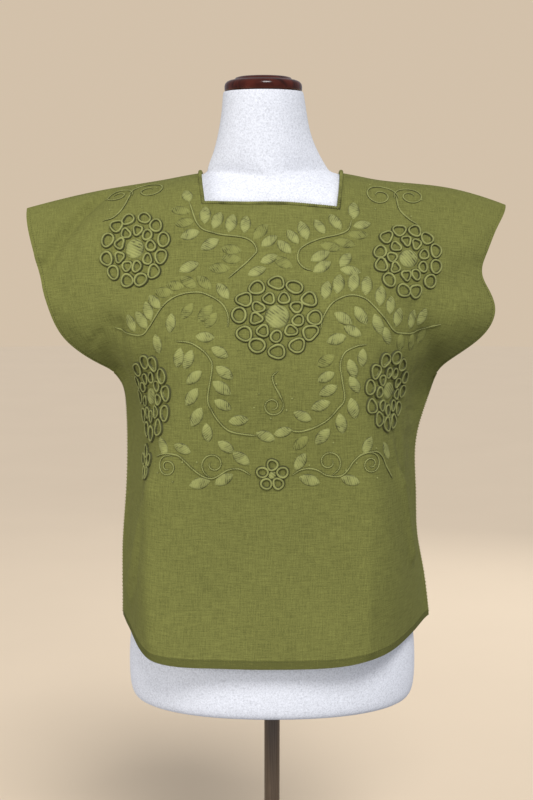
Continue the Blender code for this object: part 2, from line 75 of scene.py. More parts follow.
# Courses of the cloth, from the hem up to the shoulder ridge: heights at the middle and at the edge, how far
# the front and back stand off at the middle, how far the left and right edges reach and stand off, and how
# much higher the course runs on the left.
Course = namedtuple("Course", "middle edge front back left right off tilt", defaults=(0,))
COURSES = [
    Course(500, 526, 143, 119, 190, 200, 0),
    Course(514, 534, 143, 119, 190, 199, 0),
    Course(575, 585, 141, 116, 190, 194, 0),
    Course(630, 632, 141, 112, 189, 181, 0),
    Course(690, 690, 143, 110, 183, 182, 0),
    Course(750, 750, 147, 110, 181, 176, 0),
    Course(800, 800, 151, 112, 182, 192, 0),
    Course(835, 823, 154, 115, 184, 199, 0),
    Course(862, 840, 154, 117, 195, 202, 20),
    Course(888, 857, 150, 119, 221, 216, 38),
    Course(915, 884, 142, 120, 255, 252, 50),
    Course(945, 920, 130, 119, 268, 274, 52),
    Course(975, 955, 112, 115, 282, 251, 48),
    Course(1005, 988, 96, 107, 288, 259, 38, 3),
    Course(1035, 1016, 80, 94, 297, 271, 24, 7),
]

# The same courses between the middle and the edge: where the flat front turns on the left and on the right,
# the side below the turn, and the fin out to the side seam or the sleeve, each with its distance off.
Turn = namedtuple("Turn", "left right corner_off side side_off fin fin_off")
FRONT_TURNS = [
    Turn(150, 112, 142, 164, 92, 180, 34),
    Turn(150, 113, 142, 165, 92, 181, 34),
    Turn(152, 124, 140, 170, 86, 183, 30),
    Turn(152, 138, 139, 166, 80, 178, 26),
    Turn(144, 138, 140, 161, 76, 172, 22),
    Turn(130, 128, 146, 160, 75, 170, 20),
    Turn(118, 116, 151, 159, 77, 171, 20),
    Turn(115, 113, 152, 160, 81, 174, 26),
    Turn(116, 114, 150, 163, 88, 188, 50),
    Turn(120, 118, 145, 168, 97, 205, 68),
    Turn(124, 124, 136, 172, 101, 219, 75),
    Turn(126, 126, 124, 176, 96, 229, 73),
    Turn(124, 124, 108, 178, 87, 234, 66),
    Turn(120, 120, 93, 178, 74, 236, 54),
    Turn(116, 116, 76, 176, 58, 236, 38),
]
BACK_TURNS = [
    Turn(140, 136, 118, 162, 80, 180, 34),
    Turn(140, 136, 118, 163, 80, 181, 34),
    Turn(142, 138, 115, 166, 74, 182, 29),
    Turn(142, 140, 111, 164, 68, 177, 24),
    Turn(140, 140, 109, 160, 64, 171, 20),
    Turn(136, 136, 109, 158, 64, 170, 20),
    Turn(132, 132, 110, 157, 66, 170, 21),
    Turn(130, 130, 112, 158, 70, 173, 26),
    Turn(130, 130, 114, 162, 78, 186, 46),
    Turn(130, 130, 115, 168, 86, 206, 62),
    Turn(130, 130, 115, 174, 89, 220, 70),
    Turn(129, 129, 113, 177, 88, 230, 69),
    Turn(127, 127, 108, 178, 82, 234, 62),
    Turn(123, 123, 100, 178, 73, 236, 51),
    Turn(118, 118, 86, 176, 60, 236, 37),
]
# How much of the height between middle and edge each column takes, at the hem, below the underarm and above.
HEM_DROOP = (1, 0.92, 0.6, 0.36, 0.1, 0)
TORSO_DROOP = (1, 0.8, 0.45, 0.05, 0, 0)
SLEEVE_DROOP = (1, 0.7, 0.42, 0.15, 0.05, 0)
HEM_COURSES = 2
UNDERARM_COURSE = 7
# Heights up the cloth count from this far above the hem's lowest point.
HEM_DIP = 3
# How much of a course's tilt each column takes.
TILT = (0, 0.2, 0.6, 1, 0.7, 0)
# Where the column next to the middle lies, as a share of the way to the turn and of the turn's depth.
INNER = 0.7
INNER_OFF = 0.2

# The shoulder ridge, where front and back meet, from the sleeve's tip to the middle.
Ridge = namedtuple("Ridge", "out height")
RIDGE_LEFT = [
    Ridge(301, 1040),
    Ridge(238, 1057),
    Ridge(180, 1067),
    Ridge(126, 1075),
    Ridge(92, 1083),
    Ridge(0, 1092),
]
RIDGE_RIGHT = [
    Ridge(286, 1044),
    Ridge(236, 1063),
    Ridge(180, 1070),
    Ridge(126, 1073),
    Ridge(92, 1083),
    Ridge(0, 1092),
]
# The course that rounds the cloth over the shoulder: how far off and how far down, from edge to middle.
SHOULDER_OFF = (9, 17, 28, 38, 44, 46)
SHOULDER_DROP = (7, 5, 3.5, 3, 3, 3)

# Folds: from and to are distances across and up the cloth, then half width and depth.
# A trough has a depth below zero.
Fold = namedtuple("Fold", "across_a up_a across_b up_b width depth")
FRONT_FOLDS = [
    Fold(-212, 612, -292, 486, 18, -6),
    Fold(-205, 548, -262, 440, 22, 4),
    Fold(-206, 413, -246, 354, 18, -8),
    Fold(236, 486, 276, 494, 20, -5),
    Fold(232, 436, 262, 434, 22, 5),
    Fold(199, 400, 238, 366, 18, -8),
    Fold(-153, 209, -226, 62, 16, 6),
    Fold(176, 216, 218, 118, 14, 5),
]
BACK_FOLDS = [
    Fold(-206, 560, -272, 460, 20, -5),
    Fold(206, 560, 268, 470, 20, -5),
    Fold(-60, 470, -96, 250, 28, 5),
    Fold(70, 460, 104, 260, 28, 4),
    Fold(-190, 390, -232, 340, 18, -7),
    Fold(190, 390, 226, 345, 18, -7),
    Fold(-20, 230, -34, 10, 32, 5),
    Fold(90, 190, 128, 20, 26, 4),
]
# Creases that only the fine cloth has.
FRONT_CREASES = [
    Fold(-206, 622, -282, 498, 7, -4.2),
    Fold(-222, 618, -290, 506, 7, 2.6),
    Fold(-243, 512, -266, 462, 8, -3.2),
    Fold(-226, 410, -246, 398, 5, -1.8),
    Fold(-190, 418, -208, 350, 6, -3.0),
    Fold(-176, 392, -186, 330, 6, 1.6),
    Fold(170, 436, 214, 352, 8, -2.8),
    Fold(158, 372, 198, 318, 8, 1.4),
    Fold(214, 296, 262, 288, 4, -1.3),
    Fold(206, 277, 256, 272, 4, 1.2),
    Fold(208, 262, 248, 252, 5, -1.0),
    Fold(205, 594, 262, 540, 9, 1.5),
    Fold(-150, 198, -143, 17, 12, 1.5),
    Fold(114, 170, 120, 11, 8, 1.7),
    Fold(158, 262, 178, 212, 5, 1.4),
    Fold(178, 212, 216, 112, 5, 2.4),
    Fold(172, 276, 192, 216, 8, -2.6),
    Fold(192, 216, 228, 124, 8, -3.4),
    Fold(-160, 196, -184, 84, 8, -1.5),
    Fold(60, 190, 74, 22, 20, 1.2),
    Fold(-66, 204, -78, 20, 22, -1.2),
    Fold(8, 180, 2, 40, 24, 0.9),
    Fold(-118, 268, -92, 214, 10, -0.9),
    Fold(96, 262, 76, 206, 10, -0.9),
]
BACK_CREASES = [
    Fold(-110, 520, -136, 408, 12, 2.2),
    Fold(118, 512, 140, 410, 12, 2.2),
    Fold(-34, 560, 8, 556, 10, -1.4),
    Fold(-150, 350, -204, 318, 8, -2.0),
    Fold(148, 356, 206, 322, 8, -2.0),
    Fold(-128, 300, -160, 20, 14, 2.4),
    Fold(60, 250, 70, 30, 18, -2.2),
    Fold(-70, 260, -86, 40, 14, -2.0),
    Fold(10, 330, 16, 60, 18, 1.8),
    Fold(160, 240, 176, 40, 12, -1.8),
    Fold(-236, 520, -262, 470, 8, -1.5),
    Fold(236, 520, 260, 476, 8, -1.5),
]
# Soft unevenness of the whole cloth: wavelengths across and up, height, and where the wave starts.
Swell = namedtuple("Swell", "across up height start")
SWELLS = [
    Swell(118, 610, 0.55, 0.1),
    Swell(83, -420, 0.4, 0.5),
    Swell(171, 240, 0.45, 0.8),
]
# Small puckers where the front is stitched.
PUCKERS = [Swell(27, 41, 0.10, 0.2), Swell(-33, 23, 0.12, 0.6), Swell(19, -29, 0.08, 0.9)]
# They lie in an oval about the stitched part: its half width, half height and the height of its middle, then
# their share at the middle, where more than one counts as one, and how much less it is at the oval's edge.
PUCKER_ACROSS = 210
PUCKER_UP = 200
PUCKER_MIDDLE = 415
PUCKER_FULL = 1.5
PUCKER_FALL = 1.2

# The turned hems: how wide they are, how far they stand proud and over what width they rise, then how deep
# and over what width their row of stitches pulls in, and how far it is from the hem's inner edge.
HEM = 11
SLEEVE_HEM = 6
HEM_STEP = 0.5
HEM_SLOPE = 1.5
STITCH_DIP = 0.2
STITCH_REACH = 1.2
STITCH_INSET = 1.6
# Folds fade out within this distance of the plane of the seams.
SEAM_FADE = 25
# How far each panel stays off the plane of the seams, and the least share of a slope that a mitred wall is
# stretched by.
SEAM_GAP = 0.02
MITRE_LEAST = 0.45
SAMPLES_UP = 241
SAMPLES_ACROSS = 301
SPLINE_ORDER = 3


def spline_weights(count, at):
    """Weights of a clamped cubic B-spline with count controls, one row for each value of at in 0 to 1."""
    inner = np.linspace(0, 1, count - SPLINE_ORDER + 1)
    knots = np.concatenate([[0] * SPLINE_ORDER, inner, [1] * SPLINE_ORDER])
    at = np.clip(np.asarray(at, float), 0, 1 - 1e-9)[:, None]
    weights = ((knots[:-1] <= at) & (at < knots[1:])).astype(float)
    for order in range(1, SPLINE_ORDER + 1):
        low = knots[order:-1] - knots[: -order - 1]
        high = knots[order + 1 :] - knots[1:-order]
        rise = (at - knots[: -order - 1]) / np.where(low > 0, low, 1)
        fall = (knots[order + 1 :] - at) / np.where(high > 0, high, 1)
        weights = weights[:, :-1] * rise * (low > 0) + weights[:, 1:] * fall * (high > 0)
    return weights


def control_net(turns, side):
    """Control points of a panel as [course][column][xyz] in mm. side is -1 for the front, 1 for the back."""
    net = []
    for number, (course, turn) in enumerate(zip(COURSES, turns)):
        off_middle = course.front if side < 0 else course.back
        off_inner = off_middle + INNER_OFF * (turn.corner_off - off_middle)
        off = (course.off, turn.fin_off, turn.side_off, turn.corner_off, off_inner, off_middle)
        droop = SLEEVE_DROOP
        if number <= UNDERARM_COURSE:
            droop = HEM_DROOP if number < HEM_COURSES else TORSO_DROOP
        high = [course.middle + share * (course.edge - course.middle) for share in droop]
        tilt = [course.tilt * share for share in TILT]
        left, right = (
            [(sign * x, side * y, z - sign * t) for x, y, z, t in zip(out, off, high, tilt)]
            for sign, out in (
                (-1, (course.left, turn.fin, turn.side, turn.left, INNER * turn.left, 0)),
                (1, (course.right, turn.fin, turn.side, turn.right, INNER * turn.right, 0)),
            )
        )
        net.append(left + right[-2::-1])
    for off, drop in ((SHOULDER_OFF, SHOULDER_DROP), ((0,) * 6, (0,) * 6)):
        left, right = (
            [(sign * r.out, side * y, r.height - d) for r, y, d in zip(ridge, off, drop)]
            for sign, ridge in ((-1, RIDGE_LEFT), (1, RIDGE_RIGHT))
        )
        net.append(left + right[-2::-1])
    return np.array(net, float)


def fade(value):
    """Rises smoothly from 0 to 1 as value does."""
    value = np.clip(value, 0, 1)
    return value * value * (3 - 2 * value)


def unit(vectors):
    """Vectors at length 1."""
    return vectors / np.linalg.norm(vectors, axis=-1, keepdims=True)


def distance_run(points):
    """The distance run to each point of a path, for one path or rows of them."""
    steps = np.linalg.norm(np.diff(points, axis=-2), axis=-1)
    return np.concatenate([np.zeros((*steps.shape[:-1], 1)), np.cumsum(steps, axis=-1)], axis=-1)


def waves(swells, across, up):
    """Height of these swells together."""
    return sum(s.height * np.sin(2 * np.pi * (across / s.across + up / s.up + s.start)) for s in swells)


class Cloth:
    """A panel of cloth with a place for every thread: u runs from edge to edge, v from hem to shoulder."""

    def __init__(self, turns, side, folds, puckered):
        self.net = control_net(turns, side)
        self.side = side
        self.folds = folds
        self.puckered = puckered
        self.v = np.linspace(0, 1, SAMPLES_UP)
        self.u = np.linspace(0, 1, SAMPLES_ACROSS)
        plain = self.plain(self.u, self.v)
        middle = len(self.u) // 2
        run = distance_run(plain)
        self.across = run - run[:, [middle]]
        self.up = distance_run(plain[:, middle]) - HEM_DIP
        # The share where the underarm ends and the sleeve begins.
        self.underarm = float(np.interp(COURSES[UNDERARM_COURSE + 1].edge, plain[:, 0, 2], self.v))
        self.points, self.outward = self.folded(self.u, self.v)

    def plain(self, u, v):
        """Points [v][u][xyz] of the unfolded surface."""
        up, along = spline_weights(len(self.net), v), spline_weights(len(self.net[0]), u)
        return np.einsum("va,ub,abk->vuk", up, along, self.net, optimize=True)

    def normals(self, u, v, step=1e-3):
        """Unit normals [v][u][xyz], pointing away from the wearer."""
        u_low, u_high = np.clip(u - step, 0, 1), np.clip(u + step, 0, 1)
        v_low, v_high = np.clip(v - step, 0, 1), np.clip(v + step, 0, 1)
        along = self.plain(u_high, v) - self.plain(u_low, v)
        upward = self.plain(u, v_high) - self.plain(u, v_low)
        return unit(np.cross(along, upward) * -self.side)

    def flat(self, u, v):
        """Distance across and up the cloth of each grid point, as [v][u]."""
        rows = np.array([np.interp(u, self.u, row) for row in self.across])
        across = np.array([np.interp(v, self.v, column) for column in rows.T]).T
        up = np.interp(v, self.v, self.up)
        return across, np.repeat(up[:, None], len(u), axis=1)

    def lift(self, across, up, sleeve_edge):
        """How far folds, swells, puckers and hems lift the cloth."""
        lift = waves(SWELLS, across, up)
        for fold in self.folds:
            run = np.array([fold.across_b - fold.across_a, fold.up_b - fold.up_a], float)
            x, y = across - fold.across_a, up - fold.up_a
            share = np.clip((x * run[0] + y * run[1]) / (run @ run), 0, 1)
            beside = np.hypot(x - share * run[0], y - share * run[1])
            lift += fold.depth * np.exp(-((beside / fold.width) ** 2))
        if self.puckered:
            away = np.hypot(across / PUCKER_ACROSS, (up - PUCKER_MIDDLE) / PUCKER_UP)
            lift += fade(PUCKER_FULL - PUCKER_FALL * away) * waves(PUCKERS, across, up)
        for distance, width in ((up + HEM_DIP, HEM), (sleeve_edge, SLEEVE_HEM)):
            lift += HEM_STEP * (1 - fade((distance - width) / HEM_SLOPE + 0.5))
            lift -= STITCH_DIP * np.exp(-(((distance - width + STITCH_INSET) / STITCH_REACH) ** 2))
        return lift

    def folded(self, u, v):
        """Points with the folds, and their normals, as [v][u][xyz]."""
        points, normals = self.plain(u, v), self.normals(u, v)
        across, up = self.flat(u, v)
        edges = self.flat(np.array([0.0, 1.0]), v)[0]
        to_edge = np.minimum(across - edges[:, [0]], edges[:, [1]] - across)
        # Below the underarm the edge is a seam, with no sleeve hem.
        sleeve_edge = to_edge + HEM * 4 * (v < self.underarm)[:, None]
        lift = self.lift(across, up, sleeve_edge)
        seam = np.clip(np.abs(points[..., 1]) / SEAM_FADE, 0, 1)
        return points + normals * (lift * seam)[..., None], normals

    def spot(self, u, v):
        """One folded point and its normal."""
        return (grid[0, 0] for grid in self.folded(np.array([u]), np.array([v])))

    def place(self, across, up):
        """u and v of the threads at these distances across and up the cloth."""
        v = np.interp(up, self.up, self.v)
        row = v * (len(self.v) - 1)
        low = np.minimum(row.astype(int), len(self.v) - 2)
        share = (row - low)[:, None]
        runs = self.across[low] * (1 - share) + self.across[low + 1] * share
        right = np.clip((runs < across[:, None]).sum(axis=1), 1, runs.shape[1] - 1)
        every = np.arange(len(across))
        start, end = runs[every, right - 1], runs[every, right]
        u = (right - 1 + (across - start) / (end - start)) / (len(self.u) - 1)
        return np.clip(u, 0, 1), v

    def at(self, corners, chunk=20000):
        """Points in mm of corners that are given as across, up and lift off the cloth."""
        made = []
        for start in range(0, len(corners), chunk):
            across, up, lift = corners[start : start + chunk].T
            u, v = self.place(across, up)
            column, row = u * (len(self.u) - 1), v * (len(self.v) - 1)
            i = np.minimum(column.astype(int), len(self.u) - 2)
            j = np.minimum(row.astype(int), len(self.v) - 2)
            a, b = (column - i)[:, None], (row - j)[:, None]
            point, out = (
                (grid[j, i] * (1 - a) + grid[j, i + 1] * a) * (1 - b)
                + (grid[j + 1, i] * (1 - a) + grid[j + 1, i + 1] * a) * b
                for grid in (self.points, self.outward)
            )
            made.append(point + out * lift[:, None])
        return np.concatenate(made)


def add_object(name, data):
    """A new object in the scene."""
    made = bpy.data.objects.new(name, data)
    bpy.context.scene.collection.objects.link(made)
    return made


def new_piece(name, points, faces, material, threads=None, shades=None, smooth_angle=60):
    """A mesh piece from points in mm.

    threads gives each point's place on the cloth or yarn in mm, and shades how much painted shade it
    carries.
    """
    mesh = bpy.data.meshes.new(name)
    mesh.from_pydata((np.asarray(points) * MM).tolist(), [], faces)
    if threads is not None:
        corner = np.empty(len(mesh.loops), int)
        mesh.loops.foreach_get("vertex_index", corner)
        layer = mesh.uv_layers.new(name="threads")
        layer.uv.foreach_set("vector", (np.asarray(threads)[corner] * MM).ravel())
    if shades is not None:
        mesh.attributes.new("shade", "FLOAT", "POINT").data.foreach_set("value", np.asarray(shades, float))
    mesh.shade_smooth()
    mesh.set_sharp_from_angle(angle=math.radians(smooth_angle))
    mesh.materials.append(material)
    made = add_object(name, mesh)
    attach(made, BODY)
    return made


def grid_faces(rows, columns, start=0, closed_rows=False, closed_columns=False):
    """Quads of a grid of points that are numbered row by row."""
    i = np.arange(rows if closed_rows else rows - 1)[:, None]
    j = np.arange(columns if closed_columns else columns - 1)[None, :]
    i_next, j_next = (i + 1) % rows, (j + 1) % columns
    corners = [i * columns + j, i * columns + j_next, i_next * columns + j_next, i_next * columns + j]
    return np.stack(np.broadcast_arrays(*corners), axis=2).reshape(-1, 4) + start


class Work:
    """Stitched work laid out on the flat cloth, before it is put on the worn one."""

    def __init__(self):
        self.corners, self.faces, self.threads, self.shades = [], [], [], []
        self.count = 0

    def add(self, corners, threads, shade, closed=False):
        """Adds a grid of corners, each across, up and lift, with its place on the thread and its painted
        shade.
        """
        rows, columns = corners.shape[:2]
        self.faces.append(grid_faces(rows, columns, self.count, closed_rows=closed))
        self.corners.append(corners.reshape(-1, 3))
        self.threads.append(threads.reshape(-1, 2))
        self.shades.append(np.broadcast_to(shade, (rows, columns)).ravel())
        self.count += rows * columns

    def sew(self, name, cloth, material):
        """Puts the work on the cloth as one piece."""
        points = cloth.at(np.concatenate(self.corners))
        faces, threads, shades = (np.concatenate(a) for a in (self.faces, self.threads, self.shades))
        return new_piece(name, points, faces.tolist(), material, threads, shades)


def smooth_path(points, spacing, closed=False):
    """Points at about even spacing along a smooth curve through the given ones."""
    p = np.array(points, float)
    before, after = (p[-1:], p[:2]) if closed else (2 * p[:1] - p[1:2], 2 * p[-1:] - p[-2:-1])
    q = np.vstack([before, p, after])
    t = np.linspace(0, 1, 30, endpoint=False)[:, None]
    pieces = []
    for p0, p1, p2, p3 in zip(q, q[1:], q[2:], q[3:]):
        square, cubic = 2 * p0 - 5 * p1 + 4 * p2 - p3, -p0 + 3 * p1 - 3 * p2 + p3
        pieces.append(0.5 * (2 * p1 + (p2 - p0) * t + square * t**2 + cubic * t**3))
    fine = np.vstack(pieces + [q[-2:-1]])
    run = distance_run(fine)
    at = np.linspace(0, run[-1], max(3, round(run[-1] / spacing)) + 1)
    made = np.stack([np.interp(at, run, fine[:, k]) for k in range(p.shape[1])], axis=1)
    return made[:-1] if closed else made


def along_path(path, closed=False):
    """Unit direction at each point of a path, and the distance run to it."""
    ahead, behind = np.roll(path, -1, axis=0), np.roll(path, 1, axis=0)
    if not closed:
        ahead[-1], behind[0] = path[-1], path[0]
    return unit(ahead - behind), distance_run(path)


# How cords show their yarn: the ridges' share of the radius, their pitch, their slant round the cord, and
# the width of the painted shadow line beside it.
Yarn = namedtuple("Yarn", "depth pitch slant edge")
ROPE = Yarn(0.16, 2.9, 2, 0.25)
WHIPPED = Yarn(0.07, 1.3, 0.6, 0.95)
CORD_ANGLES = (-30, 5, 32, 58, 90, 122, 148, 175, 210)
# How dark the painted shade in the yarn's dips is, and how far off the cloth the painted shadow line beside
# a cord lies. A cord's foot has painted shade from this far round from its crest, and fully so after the
# span.
YARN_SHADE = 0.45
EDGE_LIFT = 0.1
FOOT_FROM = 34
FOOT_SPAN = 26
# The share of its radius that a tapered cord starts with, and the share that it gains.
TIP = 0.35
TIP_GAIN = 0.65
# Satin stitches: rows of points to each, how deep the furrow between two is and how dark its painted shade
# is, the columns of points to a dash of it and the least and greatest depth of one, how far the edge is sunk
# in the cloth, how soon a shape rises from its tips, and the power that rounds it from side to side.
STITCH_ROWS = 5
STITCH_DEPTH = 0.3
FURROW_SHADE = 0.9
DASH_COLUMNS = 3
DASH_DEPTHS = (0.3, 1)
SATIN_SUNK = 0.15
SATIN_RISE = 1.6
SATIN_ROUND = 0.42


def cord_on_cloth(work, path, radius, sunk, yarn, closed=False, taper=0.0):
    """A cord that lies on the cloth, open where it touches it."""
    direction, run = along_path(path, closed)
    beside = np.stack([-direction[:, 1], direction[:, 0]], axis=1)
    if closed:
        turns = max(3, round(run[-1] / yarn.pitch))
        phase = 2 * np.pi * turns * np.arange(len(path)) / len(path)
    else:
        phase = 2 * np.pi * run / yarn.pitch
    angle = np.radians(CORD_ANGLES)
    wave = np.cos(phase[:, None] - yarn.slant * angle)
    size = radius * (1 + yarn.depth * wave)
    if taper:
        ends = np.minimum(run, run[-1] - run) / taper
        size = size * np.clip(TIP + TIP_GAIN * ends, 0, 1)[:, None]
    corners = np.empty((*size.shape, 3))
    corners[..., :2] = path[:, None] + beside[:, None] * (size * np.cos(angle))[..., None]
    corners[..., 2] = radius - sunk + size * np.sin(angle)
    # A flat strip beside the foot carries painted shade: the dark line of a contact shadow on the cloth.
    corners[:, (0, -1), :2] += yarn.edge * np.array([1, -1])[:, None] * beside[:, None]
    corners[:, (0, -1), 2] = EDGE_LIFT
    threads = np.stack(np.broadcast_arrays(run[:, None], radius * angle), axis=2)
    # Painted shade: dark on the cord's foot and in the dips between the turns of its yarn.
    foot = np.clip((np.abs(np.degrees(angle) - 90) - FOOT_FROM) / FOOT_SPAN, 0, 1)
    work.add(corners, threads, np.maximum(foot, YARN_SHADE * (0.5 - 0.5 * wave)), closed)


def satin(work, middle, turn, long, wide, height, slant, power=0.8, pitch=2.7, columns=11):
    """A filled shape of satin stitches, a pointed oval, or round if power is 0.5."""
    count = max(5, round(2 * long / pitch))
    rows = STITCH_ROWS * count + 1
    s, t = np.linspace(-1, 1, rows)[:, None], np.linspace(-1, 1, columns)
    half = wide * np.clip(1 - s**2, 0, 1) ** power
    along, beside = np.broadcast_arrays(s * long, half * t)
    # The stitches slant across the shape. The furrow between two of them is a row of dashes of unlike depth.
    stitch = (along + slant * beside) / pitch
    number = np.round(stitch).astype(int) + count + 2
    dash = (np.arange(columns) + 2 * number) // DASH_COLUMNS
    depth = RANDOM.uniform(*DASH_DEPTHS, (2 * count + 5, dash.max() + 1))[number, dash]
    furrow = depth * (0.5 + 0.5 * np.cos(2 * np.pi * stitch))
    full = np.clip(half / wide * SATIN_RISE, 0, 1)
    dome = np.clip(1 - t**2, 0, 1) ** SATIN_ROUND
    axis = np.array([math.cos(turn), math.sin(turn)])
    corners = np.empty((rows, columns, 3))
    corners[..., :2] = middle + along[..., None] * axis + beside[..., None] * (axis[1], -axis[0])
    corners[..., 2] = height * (1 - STITCH_DEPTH * furrow) * full * dome - SATIN_SUNK
    threads = np.stack([beside, along], axis=2)
    # Painted shade: dark in the furrows between stitches and at the shape's edges, where it meets the cloth.
    work.add(corners, threads, np.maximum(FURROW_SHADE * furrow, np.abs(t) ** 4))


def knot(work, middle, radius):
    """A French knot: a small round ball with a dimple."""
    rise = np.radians([-20, 10, 35, 60, 80, 90])
    round_about = np.linspace(0, 2 * np.pi, 9)
    reach = radius * np.cos(rise)[:, None]
    high = radius * (0.8 * np.sin(rise) - 0.25 * (rise > 1.3))[:, None]
    corners = np.empty((len(rise), len(round_about), 3))
    corners[..., 0] = middle[0] + reach * np.cos(round_about)
    corners[..., 1] = middle[1] + reach * np.sin(round_about)
    corners[..., 2] = high + KNOT_LIFT
    # Painted shade: the knot is darker the lower a point lies, at its foot on the cloth and in its dimple.
    work.add(corners, corners[..., :2], np.clip(0.8 - high / radius, 0, 1))


# Stems of the vines, from where they grow to their tips, by distances across and up the front.
STEMS = {
    "upper_left": [(-51, 463), (-24, 490), (-19, 501), (-31, 514), (-68, 519), (-87, 529), (-98, 562)],
    "upper_right": [(46, 472), (35, 477), (29, 488), (33, 502), (52, 514), (75, 522), (88, 530), (93, 545)],
    "arch_left": [
        (-51, 404), (-51, 417), (-57, 430), (-70, 440), (-88, 446), (-113, 442), (-130, 430),
        (-147, 410), (-163, 401), (-203, 413),
    ],
    "arch_right": [
        (55, 402), (57, 414), (66, 430), (78, 439), (92, 443), (106, 440), (118, 430), (131, 417),
        (143, 405), (157, 403), (179, 406), (213, 419),
    ],
    "inner_left": [
        (-111, 390), (-94, 387), (-80, 378), (-71, 367), (-69, 356), (-74, 322), (-70, 308), (-61, 294),
        (-50, 284), (-35, 280), (-18, 278),
    ],
    "inner_right": [
        (108, 386), (95, 383), (82, 375), (77, 361), (79, 345), (82, 321), (74, 309), (62, 296),
        (46, 287), (32, 283), (20, 284),
    ],
    "wave_left": [
        (-140, 250), (-125, 255), (-110, 254), (-101, 247), (-92, 238), (-81, 230), (-71, 227),
        (-63, 230), (-52, 237), (-42, 239), (-34, 237), (-25, 231),
    ],
    "wave_right": [
        (23, 231), (32, 237), (42, 239), (52, 237), (63, 231), (78, 230), (86, 236), (94, 248),
        (104, 256), (120, 258), (131, 251), (140, 237), (153, 222),
    ],
    "centre_tail": [(6, 353), (0, 347), (2, 337), (7, 328), (12, 317)],
    "shoulder_left": [(-205, 545), (-191, 550), (-180, 568), (-172, 597)],
    "shoulder_right": [(175, 544), (163, 553), (152, 568), (149, 590)],
}

# Curls: middle, radius where the curl begins and ends, direction it begins in, and how many turns it makes.
# A curl with turns below zero runs clockwise.
Curl = namedtuple("Curl", "across up begin end angle turns")
CURLS = [
    Curl(0, 313, 13, 4, 15, -1.35),
    Curl(-122, 240, 14, 3, 62, 1.7),
    Curl(-68, 244, 16, 4, 255, -1.3),
    Curl(65, 247, 16, 4, 285, 1.3),
    Curl(114, 244, 14, 3, 118, -1.7),
    Curl(-189, 600, 20, 5, 340, 1.5),
    Curl(-149, 599, 25, 5, 192, -1.45),
    Curl(129, 589, 23, 5, -5, 1.5),
    Curl(167, 592, 21, 5, 196, -1.5),
]

# Leaves along a stem: how far their middles stand off it, to its left or right, where on it they are as
# shares of its length, the way each one points, and which of them lie flat in the colour of the cloth.
Spray = namedtuple("Spray", "stem off at turns flat")
SPRAYS = [
    Spray(
        "upper_left", -17, (0.18, 0.28, 0.33, 0.38, 0.45, 0.54, 0.66),
        (25, 29, 32, 54, 82, 80, 72), (3,),
    ),
    Spray("upper_left", 16, (0.01, 0.12, 0.52), (-3, -5, -3), (0, 1, 2)),
    Spray("upper_left", 14, (0.66, 0.77, 0.84, 0.95), (27, 14, 8, -20), (2, 3)),
    Spray("upper_right", 17, (0.20, 0.29, 0.36, 0.46, 0.60, 0.92), (150, 137, 125, 105, 118, 121), (0,)),
    Spray("upper_right", -13, (0.63, 0.77, 0.88, 0.99), (-12, -10, 4, 21), (0, 1, 2)),
    Spray(
        "arch_left", -13, (0.19, 0.29, 0.36, 0.43, 0.49, 0.56, 0.62, 0.70, 0.86),
        (127, 138, 145, 165, 170, 135, 108, 122, 112), (1, 2, 3, 4),
    ),
    Spray("arch_left", 21, (0.04, 0.20, 0.39, 0.59, 0.73), (50, 53, 56, 80, 105), (0, 1, 2)),
    Spray(
        "arch_right", 16, (0.19, 0.25, 0.31, 0.36, 0.43, 0.51, 0.59, 0.79, 0.88),
        (80, 82, 75, 84, 82, 80, 76, 78, 75), (),
    ),
    Spray("arch_right", -20, (0.13, 0.43), (150, 123), ()),
    Spray("arch_right", -11, (0.54, 0.62, 0.70, 0.79, 0.88), (115, 118, 100, 95, 85), (2, 3, 4)),
    Spray("inner_left", 14, (0.16, 0.27, 0.36, 0.46, 0.63, 0.86), (172, 149, 140, 142, 148, 3), ()),
    Spray(
        "inner_left", -19, (0.03, 0.15, 0.42, 0.54, 0.63, 0.73, 0.83),
        (76, 65, 40, 56, 63, 100, 145), (),
    ),
    Spray(
        "inner_right", -17, (0.07, 0.16, 0.26, 0.34, 0.44, 0.67, 0.88),
        (153, 17, 32, 31, 28, 24, 157), (2,),
    ),
    Spray(
        "inner_right", 14, (0.05, 0.31, 0.43, 0.55, 0.67, 0.80, 0.93),
        (84, 109, 120, 103, 98, 50, 45), (6,),
    ),
]
# Half length, half width and height of a leaf, the height of a flat one, and the two slants of stitches.
LEAF_LONG = 12.0
LEAF_WIDE = 6.9
LEAF_HEIGHT = 1.9
FLAT_HEIGHT = 1.1
LEAF_SLANTS = (-0.7, 0.65)
# Leaves that stand by themselves.
Leaf = namedtuple("Leaf", "across up turn")
LEAVES = [
    Leaf(-101, 575, 108),
    Leaf(-79, 543, 84),
    Leaf(-97, 478, 20),
    Leaf(96, 560, 84),
    Leaf(55, 492, 28),
    Leaf(57, 478, 33),
    Leaf(84, 488, 62),
    Leaf(90, 474, -4),
    Leaf(-8, 277, 160),
    Leaf(12, 282, 20),
    Leaf(-104, 262, 155),
    Leaf(-130, 263, 125),
    Leaf(-36, 251, 140),
    Leaf(-84, 221, 18),
    Leaf(-56, 226, 27),
    Leaf(32, 247, 62),
    Leaf(43, 225, 164),
    Leaf(90, 225, 165),
    Leaf(110, 266, 60),
    Leaf(142, 256, 115),
]

